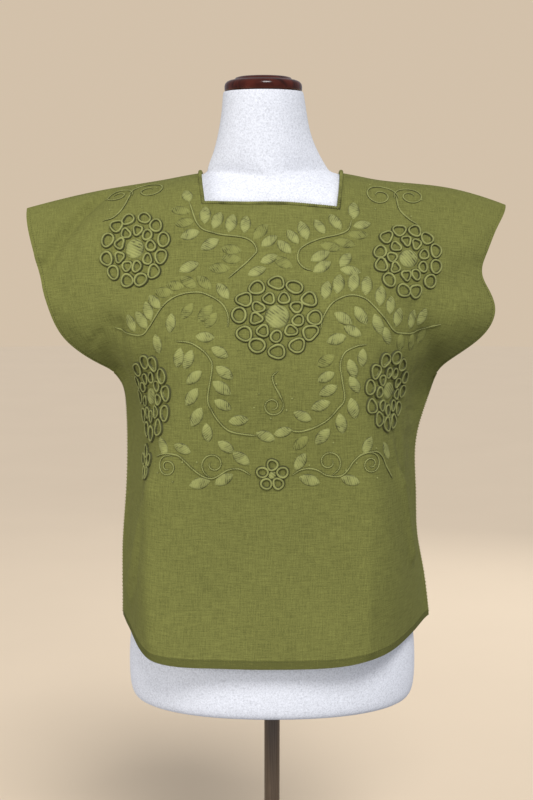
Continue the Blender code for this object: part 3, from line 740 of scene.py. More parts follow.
# French knots, in loose rings round the curls.
KnotRing = namedtuple("KnotRing", "across up reach count begin")
KNOT_RINGS = [
    KnotRing(0, 318, 21, 6, 20),
    KnotRing(-122, 240, 19, 4, 200),
    KnotRing(-68, 248, 22, 3, 60),
    KnotRing(65, 250, 22, 3, 75),
    KnotRing(114, 244, 19, 3, 300),
    KnotRing(-172, 590, 34, 5, 15),
    KnotRing(150, 588, 36, 5, 5),
]
KNOT_RADIUS = 1.3
KNOT_LIFT = 0.2
STEM_RADIUS = 1.0
STEM_SUNK = 0.4
STEM_STEP = 0.75
# A curl's cord, as a share of a stem's.
CURL_THIN = 0.9

# Rosettes, placed by their middles: across, up, half width, half height and turn.
Rosette = namedtuple("Rosette", "name across up wide high turn")
ROSETTES = [
    Rosette("rosette_middle", 5, 416, 54, 50, 0),
    Rosette("rosette_upper_left", -164, 505, 45, 50, 12),
    Rosette("rosette_upper_right", 161, 495, 46, 52, -12),
    Rosette("rosette_side_left", -160, 321, 42, 57, 6),
    Rosette("rosette_side_right", 148, 329, 42, 54, -6),
]
FLOWERS = [
    Rosette("flower_low_middle", 0, 231, 21, 21, 0),
    Rosette("flower_low_left", -172, 237, 21, 24, 8),
]
# Circles of rings in a rosette of half width 1: count, reach, radii of a ring's middle line along and across
# its direction, the first one's direction, and how far a ring may run to three corners.
Circle = namedtuple("Circle", "count reach along beside begin corners")
BIG = [Circle(12, 0.80, 0.150, 0.165, 90, 0.10), Circle(9, 0.455, 0.125, 0.118, 110, 0.15)]
SMALL = [Circle(5, 0.58, 0.30, 0.27, 90, 0.08)]
BIG_DISC = 0.27
SMALL_DISC = 0.24
RING_CORD = 1.45
RING_SUNK = 0.1
RING_STEP = 0.62
DISC_HEIGHT = 2.2
DISC_TURN = 52
DISC_PITCH = 3.3


def turned(points, angle):
    """Points turned about the origin."""
    c, s = math.cos(angle), math.sin(angle)
    return points @ np.array([[c, s], [-s, c]])


def ring(work, rosette, circle, number):
    """One padded ring, each a little out of round in its own way."""
    angle = math.radians(circle.begin + 360 * number / circle.count + RANDOM.uniform(-3, 3))
    reach = circle.reach * RANDOM.uniform(0.97, 1.03)
    phi = np.linspace(0, 2 * np.pi, 40, endpoint=False)
    corner = RANDOM.uniform(0.2, 1) * circle.corners * np.cos(3 * phi + RANDOM.uniform(0, 6))
    stretch = RANDOM.uniform(0.0, 0.09) * np.cos(2 * phi + RANDOM.uniform(0, 6))
    size = 1 + corner + stretch
    x = size * circle.along * np.cos(phi) + reach
    y = size * circle.beside * np.sin(phi)
    points = turned(np.stack([x, y], axis=1), angle + math.radians(rosette.turn))
    on_cloth = points * (rosette.wide, rosette.high) + (rosette.across, rosette.up)
    path = smooth_path(on_cloth, RING_STEP, closed=True)
    cord_on_cloth(work, path, RING_CORD * RANDOM.uniform(0.94, 1.06), RING_SUNK, WHIPPED, closed=True)


def sew_rosettes(cloth, thread):
    """The ring rosettes and the small flowers, each in place of its solid."""
    made = []
    for group, circles, disc in ((ROSETTES, BIG, BIG_DISC), (FLOWERS, SMALL, SMALL_DISC)):
        for rosette in group:
            work = Work()
            for circle in circles:
                for number in range(circle.count):
                    ring(work, rosette, circle, number)
            size = disc * rosette.wide
            middle = (rosette.across, rosette.up)
            turn = math.radians(DISC_TURN + rosette.turn)
            satin(work, middle, turn, size, size, DISC_HEIGHT, 0.0, 0.5, DISC_PITCH, columns=13)
            piece = work.sew("sewn_" + rosette.name, cloth, thread)
            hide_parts(rosette.name)
            made.append(piece)
    return made


def curl_path(curl):
    """Points along a curl, from where it begins to its inner end."""
    share = np.linspace(0, 1, 40)
    angle = np.radians(curl.angle + 360 * curl.turns * share)
    reach = curl.begin + (curl.end - curl.begin) * share**0.8
    return np.stack([curl.across + reach * np.cos(angle), curl.up + reach * np.sin(angle)], axis=1)


def spray_leaves(spray):
    """The leaves of a spray, each with whether it lies flat."""
    path = smooth_path(STEMS[spray.stem], 1.0)
    direction, run = along_path(path)
    leaves = []
    for number, (share, turn) in enumerate(zip(spray.at, spray.turns)):
        spot, ahead = (
            np.array([np.interp(share * run[-1], run, line[:, k]) for k in (0, 1)])
            for line in (path, direction)
        )
        beside = spray.off * unit(np.array([-ahead[1], ahead[0]]))
        # A leaf's tip points away from its stem.
        if beside @ (math.cos(math.radians(turn)), math.sin(math.radians(turn))) < 0:
            turn += 180
        leaf = Leaf(*(spot + beside * RANDOM.uniform(0.94, 1.06)), turn)
        leaves.append((leaf, number in spray.flat))
    return leaves


def sew_vines(cloth, thread, flat_thread):
    """Stems, curls, leaves and knots."""
    stems, raised, flat, knots = Work(), Work(), Work(), Work()
    routes = [(points, STEM_RADIUS) for points in STEMS.values()]
    routes += [(curl_path(curl), STEM_RADIUS * CURL_THIN) for curl in CURLS]
    for points, radius in routes:
        cord_on_cloth(stems, smooth_path(points, STEM_STEP), radius, STEM_SUNK, ROPE, taper=6)
    leaves = [(leaf, False) for leaf in LEAVES]
    for spray in SPRAYS:
        leaves += spray_leaves(spray)
    for leaf, low in leaves:
        size = RANDOM.uniform(0.92, 1.08)
        turn = math.radians(leaf.turn + RANDOM.uniform(-4, 4))
        work, height = (flat, FLAT_HEIGHT) if low else (raised, LEAF_HEIGHT)
        slant = RANDOM.choice(LEAF_SLANTS)
        satin(work, (leaf.across, leaf.up), turn, LEAF_LONG * size, LEAF_WIDE * size, height, slant)
    for group in KNOT_RINGS:
        for number in range(group.count):
            angle = math.radians(group.begin + 360 * number / group.count + RANDOM.uniform(-14, 14))
            reach = group.reach * RANDOM.uniform(0.85, 1.1)
            spot = (group.across + reach * math.cos(angle), group.up + reach * math.sin(angle))
            knot(knots, spot, KNOT_RADIUS * RANDOM.uniform(0.85, 1.1))
    return [
        stems.sew("sewn_stems", cloth, thread),
        raised.sew("sewn_leaves", cloth, thread),
        flat.sew("sewn_flat_leaves", cloth, flat_thread),
        knots.sew("sewn_knots", cloth, thread),
    ]


# Stitches of the hems: their spacing along the hem, and on the sleeves as a share of the height, then half a
# stitch across and up, and the yarn.
HEM_PITCH = 3.6
SLEEVE_PITCH = 0.0062
HEM_STITCH = (1.0, 0.12)
SLEEVE_STITCH = (0, 0.8)
HEM_YARN_RADIUS = 0.42
HEM_YARN_SUNK = 0.25


def sew_hems(cloth, name, thread):
    """Rows of small stitches along the hem and the sleeves."""
    left, right = cloth.flat(np.array([0.0, 1.0]), np.array([0.02]))[0][0]
    low = HEM - HEM_DIP - STITCH_INSET
    stitches = [((x, low), HEM_STITCH) for x in np.arange(left + 6, right - 6, HEM_PITCH)]
    for side, inward in ((0.0, 1), (1.0, -1)):
        for v in np.arange(cloth.underarm + 0.02, 0.985, SLEEVE_PITCH):
            across, up = (grid[0, 0] for grid in cloth.flat(np.array([side]), np.array([v])))
            stitches.append(((across + inward * (SLEEVE_HEM - STITCH_INSET), up), SLEEVE_STITCH))
    work = Work()
    for spot, half in stitches:
        path = np.linspace(np.subtract(spot, half), np.add(spot, half), 4)
        cord_on_cloth(work, path, HEM_YARN_RADIUS, HEM_YARN_SUNK, ROPE, taper=0.7)
    return work.sew(name, cloth, thread)


def border_edges(faces):
    """Directed edges that only one face has, for quads in an array."""
    start = faces.ravel()
    end = np.roll(faces, -1, axis=1).ravel()
    size = int(faces.max()) + 1
    forward, backward = start * size + end, end * size + start
    alone = ~np.isin(forward, backward)
    return np.stack([start[alone], end[alone]], axis=1)


def shares(stops, count):
    """About count values from 0 to 1, with every stop among them."""
    values = []
    for low, high in zip(stops, stops[1:]):
        steps = max(1, round((high - low) * count))
        values += [low + (high - low) * i / steps for i in range(steps)]
    return np.array(values + [stops[-1]])


def neck_cut(cloth, height):
    """u of the left and right edge of the square neckline, and v of its lower edge."""
    ridge = cloth.plain(cloth.u, np.array([1.0]))[0]
    u_left, u_right = (np.interp(x, ridge[:, 0], cloth.u) for x in (-NECK_LEFT, NECK_RIGHT))
    middle = cloth.plain(np.array([0.5]), cloth.v)[:, 0]
    return float(u_left), float(u_right), float(np.interp(height, middle[:, 2], cloth.v))


# Columns of points near the side edges as shares of the width, rows near the hem in mm, rows near the
# shoulder as shares of the height, and how many columns and rows a panel has in all.
NEAR_EDGE = (0, 0.004, 0.008, 0.0105, 0.014, 0.018)
ROWS_NEAR_HEM = (0, 3, 6, 8, 9.4, 10.6, 12, 14)
NEAR_SHOULDER = (0.94, 0.965, 0.985, 1)
FRONT_GRID = (196, 186)
BACK_GRID = (160, 150)


def panel(name, node, cloth, neck_height, columns, rows, material):
    """A cloth panel as one thin closed wall, in place of its solid. Also returns its flat size and area."""
    u_left, u_right, v_neck = neck_cut(cloth, neck_height)
    near_hem = [float(np.interp(x - HEM_DIP, cloth.up, cloth.v)) for x in ROWS_NEAR_HEM]
    u = shares((*NEAR_EDGE, u_left, u_right, *[1 - x for x in NEAR_EDGE[::-1]]), columns)
    v = shares((*near_hem, v_neck, *NEAR_SHOULDER), rows)
    points, normals = cloth.folded(u, v)
    points[..., 1] = cloth.side * np.maximum(np.abs(points[..., 1]), SEAM_GAP)
    across, up = cloth.flat(u, v)
    to_edge = np.minimum(across - across[:, [0]], across[:, [-1]] - across)
    hemmed = (up + HEM_DIP < HEM) | (to_edge < SLEEVE_HEM) & (v > cloth.underarm)[:, None]
    wall = np.where(hemmed, HEM_WALL, WALL)[..., None]
    inner = points - normals * wall
    # Next to a seam the inside stays on its own side of it, and goes in further to keep its thickness.
    level = normals * (1, 0, 1)
    length = np.maximum(np.linalg.norm(level, axis=2, keepdims=True), MITRE_LEAST)
    crossing = inner[..., 1:2] * cloth.side < SEAM_GAP
    inner = np.where(crossing, points - level / length**2 * wall, inner)
    inner[..., 1] = cloth.side * np.maximum(inner[..., 1] * cloth.side, SEAM_GAP)
    beside_neck = (u[:-1] > u_left - 1e-6) & (u[:-1] < u_right - 1e-6)
    in_neck = (v[:-1] > v_neck - 1e-6)[:, None] & beside_neck
    faces = grid_faces(len(v), len(u))[~in_neck.ravel()]
    if cloth.side > 0:
        faces = faces[:, ::-1]
    used, faces = np.unique(faces, return_inverse=True)
    faces = faces.reshape(-1, 4)
    count = len(used)
    start, end = border_edges(faces).T
    rim_faces = np.stack([end, start, start + count, end + count], axis=1)
    outer = points.reshape(-1, 3)[used]
    both_sides = np.concatenate([outer, inner.reshape(-1, 3)[used]])
    all_faces = np.concatenate([faces, faces[:, ::-1] + count, rim_faces])
    threads = np.tile(np.stack([across.ravel()[used], up.ravel()[used]], axis=1), (2, 1))
    made = new_piece(name, both_sides, all_faces.tolist(), material, threads)
    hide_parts(node)
    a, b, c, d = (outer[faces[:, k]] for k in range(4))
    area = 0.5 * np.linalg.norm(np.cross(c - a, d - b), axis=1).sum() * MM * MM
    width = float((across[:, -1] - across[:, 0]).max()) * MM
    return made, (width, float(up.max() - up.min()) * MM), float(area)


# Points down a side of the neckline and along its foot, how much of u and v its rounded corners take, and
# where in a corner its one point lies.
NECK_SIDE = 14
NECK_FOOT = 20
NECK_CORNER_U = 0.004
NECK_CORNER_V = 0.006
NECK_BEND = 0.3


def neck_line(cloth, height):
    """Points and normals along one panel's neckline, from the left shoulder to the right."""
    u_left, u_right, v_neck = neck_cut(cloth, height)
    side = np.linspace(v_neck + NECK_CORNER_V, 1, NECK_SIDE)
    foot = np.linspace(u_left + NECK_CORNER_U, u_right - NECK_CORNER_U, NECK_FOOT)
    bend_u, bend_v = NECK_BEND * NECK_CORNER_U, v_neck + NECK_BEND * NECK_CORNER_V
    u = [*[u_left] * NECK_SIDE, u_left + bend_u, *foot, u_right - bend_u, *[u_right] * NECK_SIDE]
    v = [*side[::-1], bend_v, *[v_neck] * NECK_FOOT, bend_v, *side]
    return [np.concatenate([*cloth.spot(*here)]) for here in zip(u, v)]


def around(path, first, second, size, angle):
    """Points round a path, [point][angle][xyz], in rings whose two axes are given."""
    return (
        path[:, None]
        + first[:, None] * (size * np.cos(angle))[..., None]
        + second[:, None] * (size * np.sin(angle))[..., None]
    )


def bind_neck(front, back, material):
    """The whipped edge round the neck."""
    loop = np.array(neck_line(front, FRONT_NECK_HEIGHT) + neck_line(back, BACK_NECK_HEIGHT)[::-1])
    # Front and back meet at the shoulders, where one point stands for both and the cord rises.
    apart = np.linalg.norm(loop[:, :3] - np.roll(loop[:, :3], 1, axis=0), axis=1)
    loop[apart < 1, 3:] = (0, 0, 1)
    loop = loop[np.roll(apart, -1) >= 1]
    loop[:, 2] += BINDING_RISE * np.exp(-((loop[:, 1] / BINDING_RISE_REACH) ** 2))
    loop = smooth_path(loop, BINDING_STEP, closed=True)
    lines, normals = loop[:, :3], unit(loop[:, 3:])
    direction, run = along_path(lines, closed=True)
    into_neck = unit(np.cross(direction, normals))
    inward = np.sign((((0, 0, CAP_BOTTOM) - lines) * into_neck).sum(axis=1, keepdims=True))
    into_neck = into_neck * inward
    out = np.cross(into_neck, direction) * inward
    middle = lines + into_neck * BINDING_RADIUS * 0.9 - out * (WALL / 2)
    phase = 2 * np.pi * round(run[-1] / BINDING_PITCH) * np.arange(len(lines)) / len(lines)
    angle = np.linspace(0, 2 * np.pi, BINDING_SIDES, endpoint=False)
    wave = np.cos(phase[:, None] - BINDING_SLANT * angle)
    points = around(middle, into_neck, out, BINDING_RADIUS * (1 + BINDING_DEPTH * wave), angle)
    faces = grid_faces(len(lines), BINDING_SIDES, closed_rows=True, closed_columns=True).tolist()
    threads = np.stack(np.broadcast_arrays(run[:, None], BINDING_RADIUS * angle), axis=2).reshape(-1, 2)
    # Painted shade: dark where the cord meets the cloth and in the dips of its whipping.
    foot = np.clip(1.1 - np.abs(angle - np.pi), 0, 1)
    shades = np.maximum(foot, BINDING_SHADE * (0.5 - 0.5 * wave)).ravel()
    piece = new_piece(
        "neck_binding_cord", points.reshape(-1, 3), faces, material, threads, shades
    )
    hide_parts("neck_binding")


def tube(path, radius, sides=6):
    """Points and faces of a short round stitch through the points of a path."""
    direction = unit(np.gradient(path, axis=0))
    across = unit(np.cross(direction, (0.0, 0.0, 1.0)))
    angle = np.linspace(0, 2 * np.pi, sides, endpoint=False)
    thin = radius * np.concatenate([[0.3], np.ones(len(path) - 2), [0.3]])[:, None]
    points = around(path, across, np.cross(direction, across), thin, angle)
    return points.reshape(-1, 3), grid_faces(len(path), sides, closed_columns=True)


# Overcast stitches: their spacing as a share of the height, their radius, how far their ends and their
# middles stand off the cloth, and how far they go round the seam.
OVERCAST_PITCH = 0.0052
OVERCAST_RADIUS = 0.5
OVERCAST_LIFT = 0.35
OVERCAST_BULGE = 0.5
OVERCAST_ROUND = 0.75


def overcast_sides(front, back, material):
    """The overcast stitches that join front and back below the underarms."""
    points, faces, count = [], [], 0
    for side, out in ((0.0, -1), (1.0, 1)):
        for v in np.arange(0.012, front.underarm - 0.005, OVERCAST_PITCH):
            edge, front_out = front.spot(side, v)
            back_out = back.normals(np.array([side]), np.array([v]))[0, 0]
            slope = RANDOM.uniform(0.6, 1.6)
            end = edge - (out * RANDOM.uniform(2.2, 3.2), 0, 0)
            front_end, back_end = end + front_out * OVERCAST_LIFT, end + back_out * OVERCAST_LIFT
            top = edge + (out * OVERCAST_ROUND, 0, 0)
            path = [
                front_end - (0, 0.2, slope),
                (front_end + edge) / 2 + front_out * OVERCAST_BULGE - (0, 0, slope / 2),
                top - (0, 0.35, 0.1),
                top + (0, 0.35, 0.1),
                (back_end + edge) / 2 + back_out * OVERCAST_BULGE + (0, 0, slope / 2),
                back_end + (0, 0.2, slope),
            ]
            made, quads = tube(np.array(path), OVERCAST_RADIUS)
            points.append(made)
            faces.append(quads + count)
            count += len(made)
    quads = np.concatenate(faces).tolist()
    new_piece("side_seam_stitches", np.concatenate(points), quads, material)


# Dress form, bottom to top: height, shift to the side, half width, front and back depth, how square it is.
Ring = namedtuple("Ring", "height shift wide front back square")
FORM_LOW = [
    Ring(424, 0, 168, 104, 100, 2.2),
    Ring(427, 0, 176, 112, 107, 2.2),
    Ring(436, 0, 182, 117, 111, 2.2),
    Ring(470, 0, 184, 119, 113, 2.2),
    Ring(520, 0, 181, 118, 111, 2.2),
    Ring(570, 0, 168, 112, 106, 2.2),
    Ring(615, 0, 148, 103, 97, 2.2),
    Ring(660, 0, 133, 97, 90, 2.1),
    Ring(700, 0, 132, 99, 90, 2.1),
    Ring(750, 0, 139, 112, 95, 2.1),
    Ring(800, 0, 147, 128, 100, 2.1),
    Ring(845, 0, 151, 138, 104, 2.1),
    Ring(890, 0, 152, 134, 107, 2.1),
    Ring(935, 0, 154, 118, 108, 2.2),
    Ring(975, 0, 160, 98, 105, 2.3),
    Ring(1010, 0, 168, 82, 98, 2.3),
    Ring(1035, 0, 172, 70, 84, 2.3),
    Ring(1050, 0, 170, 64, 70, 2),
]
Shoulder = namedtuple("Shoulder", "wide front back square")
FORM_SHOULDER = [
    Shoulder(160, 57, 52, 1.25),
    Shoulder(132, 54, 48, 1.2),
    Shoulder(108, 53, 47, 1.2),
    Shoulder(93, 52, 47, 1.25),
]
SHOULDER_DOWN = 2.2
FORM_NECK = [
    Ring(1083, -4, 76, 52, 47, 1.32),
    Ring(1088, -6, 74, 52, 47, 1.42),
    Ring(1096, -7, 70, 52, 46.5, 1.6),
    Ring(1108, -8, 64, 52, 46, 1.8),
    Ring(1130, -10, 56, 52, 45, 2),
    Ring(1158, -10, 51.5, 52, 44, 2),
    Ring(1177, -11, 49.5, 51, 44, 2),
    Ring(1179.2, -11, 48.5, 50, 43, 2),
]
FORM_SIDES = 28


def ring_points(level, sides):
    """Points round a superellipse with its own front and back depth."""
    angle = 2 * np.pi * np.arange(sides) / sides
    c, s = np.cos(angle), np.sin(angle)
    power = 2 / level.square
    depth = np.where(s > 0, level.back, level.front)
    x = level.shift + level.wide * np.sign(c) * np.abs(c) ** power
    y = depth * np.sign(s) * np.abs(s) ** power
    return np.stack([x, y, np.full(sides, float(level.height))], axis=1)


def lathe(name, node, rings, material, levels=0):
    """A closed body through rings of points from its bottom up, in place of its solid."""
    sides = len(rings[0])
    points = np.concatenate(rings)
    quads = grid_faces(len(rings), sides, closed_columns=True).tolist()
    ends = [list(range(sides))[::-1], list(range(len(points) - sides, len(points)))]
    made = new_piece(name, points, quads + ends, material, smooth_angle=50)
    if levels:
        # The rim at the top stays sharp.
        creases = made.data.attributes.new("crease_edge", "FLOAT", "EDGE")
        for edge, crease in zip(made.data.edges, creases.data):
            crease.value = float(min(edge.vertices) >= len(points) - sides)
        rounder = made.modifiers.new("round", "SUBSURF")
        rounder.levels = rounder.render_levels = levels
    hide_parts(node)


def circle_points(radius, height, sides, shift=(0, 0)):
    """Points round a circle."""
    angle = 2 * np.pi * np.arange(sides) / sides
    x, y = shift[0] + radius * np.cos(angle), shift[1] + radius * np.sin(angle)
    return np.stack([x, y, np.full(sides, float(height))], axis=1)


def dress_form(front, linen):
    """The torso with its neck, rounder than its solid."""
    ridge = front.plain(front.u, np.array([1.0]))[0]
    shoulders = []
    for part in FORM_SHOULDER:
        height = min(np.interp((-part.wide, part.wide), ridge[:, 0], ridge[:, 2])) - SHOULDER_DOWN
        shoulders.append(Ring(height, 0, *part))
    hollow = (FORM_BOTTOM + SOCKET_DEPTH, FORM_BOTTOM)
    rings = [circle_points(POLE_RADIUS + POLE_PLAY, height, FORM_SIDES) for height in hollow]
    rings += [ring_points(level, FORM_SIDES) for level in FORM_LOW + shoulders + FORM_NECK]
    lathe("form_linen", "form_body", rings, linen, levels=2)


# Profiles of the turned pieces, from the underside out and up.
Corner = namedtuple("Corner", "radius height")
CAP = [
    Corner(45.2, 0),
    Corner(46.5, 0.6),
    Corner(47, 2.2),
    Corner(47, 6.4),
    Corner(46.3, 9),
    Corner(44.4, 11.4),
    Corner(41, 13),
    Corner(36.2, 13.8),
    Corner(34.8, 14.8),
    Corner(33.4, 16.4),
    Corner(30, 17.4),
    Corner(20, 18),
    Corner(6, 18),
]
POLE = [
    Corner(POLE_RADIUS - 0.6, SOLE + 0.3),
    Corner(POLE_RADIUS, SOLE + 1),
    Corner(POLE_RADIUS, FORM_BOTTOM + SOCKET_DEPTH - 1),
    Corner(POLE_RADIUS - 0.6, FORM_BOTTOM + SOCKET_DEPTH - 0.3),
]
FOOT = [
    Corner(163, 0),
    Corner(164.6, 1),
    Corner(165, 3),
    Corner(164.8, 7),
    Corner(163, 9.6),
    Corner(159, 10.9),
    Corner(90, 13.8),
    Corner(30, 16.8),
    Corner(22, 18),
    Corner(17.6, 21),
    Corner(15.8, 26),
    Corner(15.2, 34),
    Corner(15, 50.4),
    Corner(14.2, 51.8),
    Corner(POLE_RADIUS + 1.2, 52),
    Corner(POLE_RADIUS + 0.4, 51.4),
    Corner(POLE_RADIUS + POLE_PLAY, SOLE),
]


def stand(cap_wood, steel):
    """The neck cap, the pole and the foot."""
    neck = FORM_NECK[-1]
    middle = (neck.shift, (neck.back - neck.front) / 2)
    cap = [circle_points(c.radius, CAP_BOTTOM + c.height, 96, middle) for c in CAP]
    lathe("cap_turned", "neck_cap", cap, cap_wood)
    lathe("pole_turned", "pole", [circle_points(c.radius, c.height, 48) for c in POLE], steel)
    lathe("foot_turned", "foot", [circle_points(c.radius, c.height, 128) for c in FOOT], steel)


class Paint:
    """A material in the making, with one call for each kind of node."""

    def __init__(self, name, colour, rough, **sockets):
        self.made = bpy.data.materials.new(name)
        self.made.use_nodes = True
        self.tree = self.made.node_tree
        self.shader = self.tree.nodes["Principled BSDF"]
        self.colour = colour
        self.shader.inputs["Base Color"].default_value = (*colour, 1)
        self.shader.inputs["Roughness"].default_value = rough
        for socket, value in sockets.items():
            self.shader.inputs[socket.replace("_", " ")].default_value = value

    def add(self, kind, values, output=0, **settings):
        """Adds a node with values or links on its inputs, and returns one of its outputs."""
        node = self.tree.nodes.new(kind)
        for key, value in settings.items():
            setattr(node, key, value)
        for socket, value in values.items():
            if isinstance(value, bpy.types.NodeSocket):
                self.tree.links.new(value, node.inputs[socket])
            else:
                node.inputs[socket].default_value = value
        return node.outputs[output]

    def on_cloth(self):
        """Places along the cloth or the yarn."""
        return self.add("ShaderNodeUVMap", {}, uv_map="threads")

    def in_space(self):
        """Places in the piece's own space."""
        return self.add("ShaderNodeTexCoord", {}, "Object")

    def stretched(self, place, scale):
        """Places scaled differently along each axis."""
        return self.add("ShaderNodeMapping", {"Vector": place, "Scale": scale})

    def noise(self, place, scale, detail, **values):
        """A noise texture."""
        return self.add("ShaderNodeTexNoise", {"Vector": place, "Scale": scale, "Detail": detail, **values})

    def bands(self, place, direction, pitch, distortion):
        """The height of ridges at this pitch, which is a wave texture's second output."""
        values = {"Vector": place, "Scale": WAVE_LENGTH / pitch, "Distortion": distortion, "Detail": 1.0}
        return self.add("ShaderNodeTexWave", values, 1, wave_type="BANDS", bands_direction=direction)

    def maths(self, operation, *values, **settings):
        """A sum of the node graph."""
        return self.add("ShaderNodeMath", dict(enumerate(values)), operation=operation, **settings)

    def tint(self, factor, *stops):
        """Links the base colour to a ramp: a stop is a place on the factor and a multiple of the colour."""
        ramp = self.tree.nodes.new("ShaderNodeValToRGB")
        points = ramp.color_ramp.elements
        while len(points) < len(stops):
            points.new(0.5)
        for point, (place, multiple) in zip(points, stops):
            point.position = place
            point.color = (*[c * multiple for c in self.colour], 1)
        self.tree.links.new(factor, ramp.inputs[0])
        self.tree.links.new(ramp.outputs[0], self.shader.inputs["Base Color"])

    def bump(self, height, strength, distance):
        """Links the shader's normal to this relief."""
        values = {"Height": height, "Strength": strength, "Distance": distance}
        self.tree.links.new(self.add("ShaderNodeBump", values), self.shader.inputs["Normal"])


CLOTH_COLOUR = (0.178, 0.18, 0.049)
THREAD_COLOUR = (0.272, 0.28, 0.09)
FLAT_THREAD_COLOUR = (0.208, 0.213, 0.058)
LINEN_COLOUR = (0.75, 0.76, 0.81)
MAHOGANY_COLOUR = (0.05, 0.009, 0.005)
STEEL_COLOUR = (0.13, 0.11, 0.097)
THREAD_PITCH = 0.00072
HEM_EDGE = (HEM - HEM_DIP) * MM
HEM_BLUR = 0.0008
HEM_SHADE = 0.25
# A wave texture of scale 1 has this wavelength.
WAVE_LENGTH = math.pi / 10


def cloth_material():
    """Plain weave cotton with slubs, in the cloth's own coordinates."""
    paint = Paint("olive_cotton", CLOTH_COLOUR, 0.95, Specular_IOR_Level=0.15)
    place = paint.on_cloth()
    warp, weft = (paint.bands(place, direction, THREAD_PITCH, 1.2) for direction in "XY")
    weave = paint.maths("MULTIPLY", warp, weft)
    slub_along = paint.noise(paint.stretched(place, (60, 700, 1)), 1.0, 1.0)
    slub_up = paint.noise(paint.stretched(place, (700, 60, 1)), 1.0, 2.0)
    slubs = paint.maths("ADD", slub_along, slub_up)
    grain = paint.noise(place, 620.0, 1.0)
    mottle = paint.noise(place, 14.0, 3.0)
    # Each noise stands about 0.5, and the tone that these shares make of them about 0.44.
    tone = paint.maths("MULTIPLY_ADD", slubs, 0.42, -0.24)
    tone = paint.maths("MULTIPLY_ADD", mottle, 0.12, tone)
    tone = paint.maths("MULTIPLY_ADD", grain, 0.4, tone)
    # The turned hem is darker than the single cloth above it: partly its double layer, partly painted shade
    # where it turns under.
    up = paint.add("ShaderNodeSeparateXYZ", {0: place}, "Y")
    ends = {"Value": up, 1: HEM_EDGE - HEM_BLUR, 2: HEM_EDGE + HEM_BLUR, 3: -HEM_SHADE, 4: 0.0}
    tone = paint.maths("ADD", tone, paint.add("ShaderNodeMapRange", ends))
    paint.tint(tone, (0.2, 0.58), (0.5, 0.98), (0.8, 1.38))
    paint.bump(paint.maths("MULTIPLY_ADD", slubs, 0.5, weave), 0.5, 0.00025)
    return paint.made


def thread_material(name, colour, pitch, rough):
    """Cotton floss that runs along the thread coordinates, darkened by painted shade where the shade
    attribute says.
    """
    paint = Paint(name, colour, rough, Specular_IOR_Level=0.25)
    place = paint.on_cloth()
    strands = paint.bands(place, "Y", pitch, 1.5)
    fuzz = paint.noise(place, 900.0, 2.0)
    patches = paint.noise(place, 60.0, 2.0)
    # Painted shade: the shade attribute darkens the floss at stitch feet, shape edges and furrows.
    shade = paint.add("ShaderNodeAttribute", {}, "Fac", attribute_name="shade")
    tone = paint.maths("MULTIPLY_ADD", shade, -0.5, patches)
    tone = paint.maths("MULTIPLY_ADD", fuzz, 0.5, tone)
    paint.tint(tone, (0.25, 0.22), (0.55, 0.86), (0.95, 1.18))
    paint.bump(paint.maths("MULTIPLY_ADD", fuzz, 0.6, strands), 0.45, 0.00015)
    return paint.made


def linen_material():
    """Off-white linen with fine grey fibres and a few dark flecks."""
    paint = Paint("flecked_linen", LINEN_COLOUR, 0.95)
    place = paint.in_space()
    mottle = paint.noise(place, 520.0, 2.0, Roughness=0.7)
    flecks = paint.noise(place, 360.0, 1.0, Roughness=0.5)
    fibres = paint.noise(paint.stretched(place, (260, 260, 900)), 1.0, 2.0)
    hairs = paint.noise(paint.stretched(place, (900, 900, 200)), 1.0, 1.0)
    # Dark flecks are where the noise peaks, and pull the mottled tone down.
    peaks = paint.maths("SUBTRACT", flecks, 0.64, use_clamp=True)
    paint.tint(paint.maths("MULTIPLY_ADD", peaks, -7.0, mottle), (0.3, 0.8), (0.7, 1.1))
    paint.bump(paint.maths("ADD", fibres, hairs), 0.35, 0.0004)
    return paint.made


def wood_material():
    """Dark mahogany under gloss lacquer."""
    paint = Paint("lacquered_mahogany", MAHOGANY_COLOUR, 0.16, Specular_IOR_Level=0.25)
    grain = paint.noise(paint.stretched(paint.in_space(), (14, 160, 60)), 1.0, 5.0, Distortion=0.6)
    paint.tint(grain, (0.3, 0.4), (0.7, 1.7))
    return paint.made


def steel_material():
    """Brushed steel, darkened."""
    paint = Paint("brushed_steel", STEEL_COLOUR, 0.34, Metallic=1.0)
    brushed = paint.noise(paint.stretched(paint.in_space(), (1500, 1500, 14)), 1.0, 3.0)
    paint.tint(brushed, (0.3, 0.7), (0.7, 1.25))
    paint.bump(brushed, 0.15, 0.0001)
    return paint.made


def floor_material():
    """A plain pale floor with hardly any clouding."""
    paint = Paint("pale_floor", FLOOR_COLOUR, 0.8)
    paint.tint(paint.noise(paint.in_space(), 3.0, 3.0), (0.3, 0.99), (0.7, 1.01))
    return paint.made


def area_light(light):
    """A soft square light that faces a spot on the stand's axis."""
    data = bpy.data.lights.new(light.name, "AREA")
    data.size = light.size
    data.energy = light.power
    data.color = light.colour
    made = add_object(light.name, data)
    made.location = light.place
    towards = Vector((0, 0, light.aim)) - Vector(light.place)
    made.rotation_euler = towards.to_track_quat("-Z", "Y").to_euler()
    # It lights the matt surfaces alone, with no glint on the cap and the pole.
    made.visible_glossy = False


CAMERA_PLACE = (-0.007125, -1.75, 1.042)
CAMERA_DOWN = 7.8
CAMERA_LENS = 63.6
SUN_FROM = (0.2, -1.0, 1.12)
SUN_POWER = 2.38
SUN_SPREAD = 20
SKY_COLOUR = (0.97, 0.99, 1.06)
SKY_POWER = 0.38
FLOOR_COLOUR = (0.70, 0.57, 0.42)
FLOOR_RADIUS = 9
FLOOR_SIDES = 96
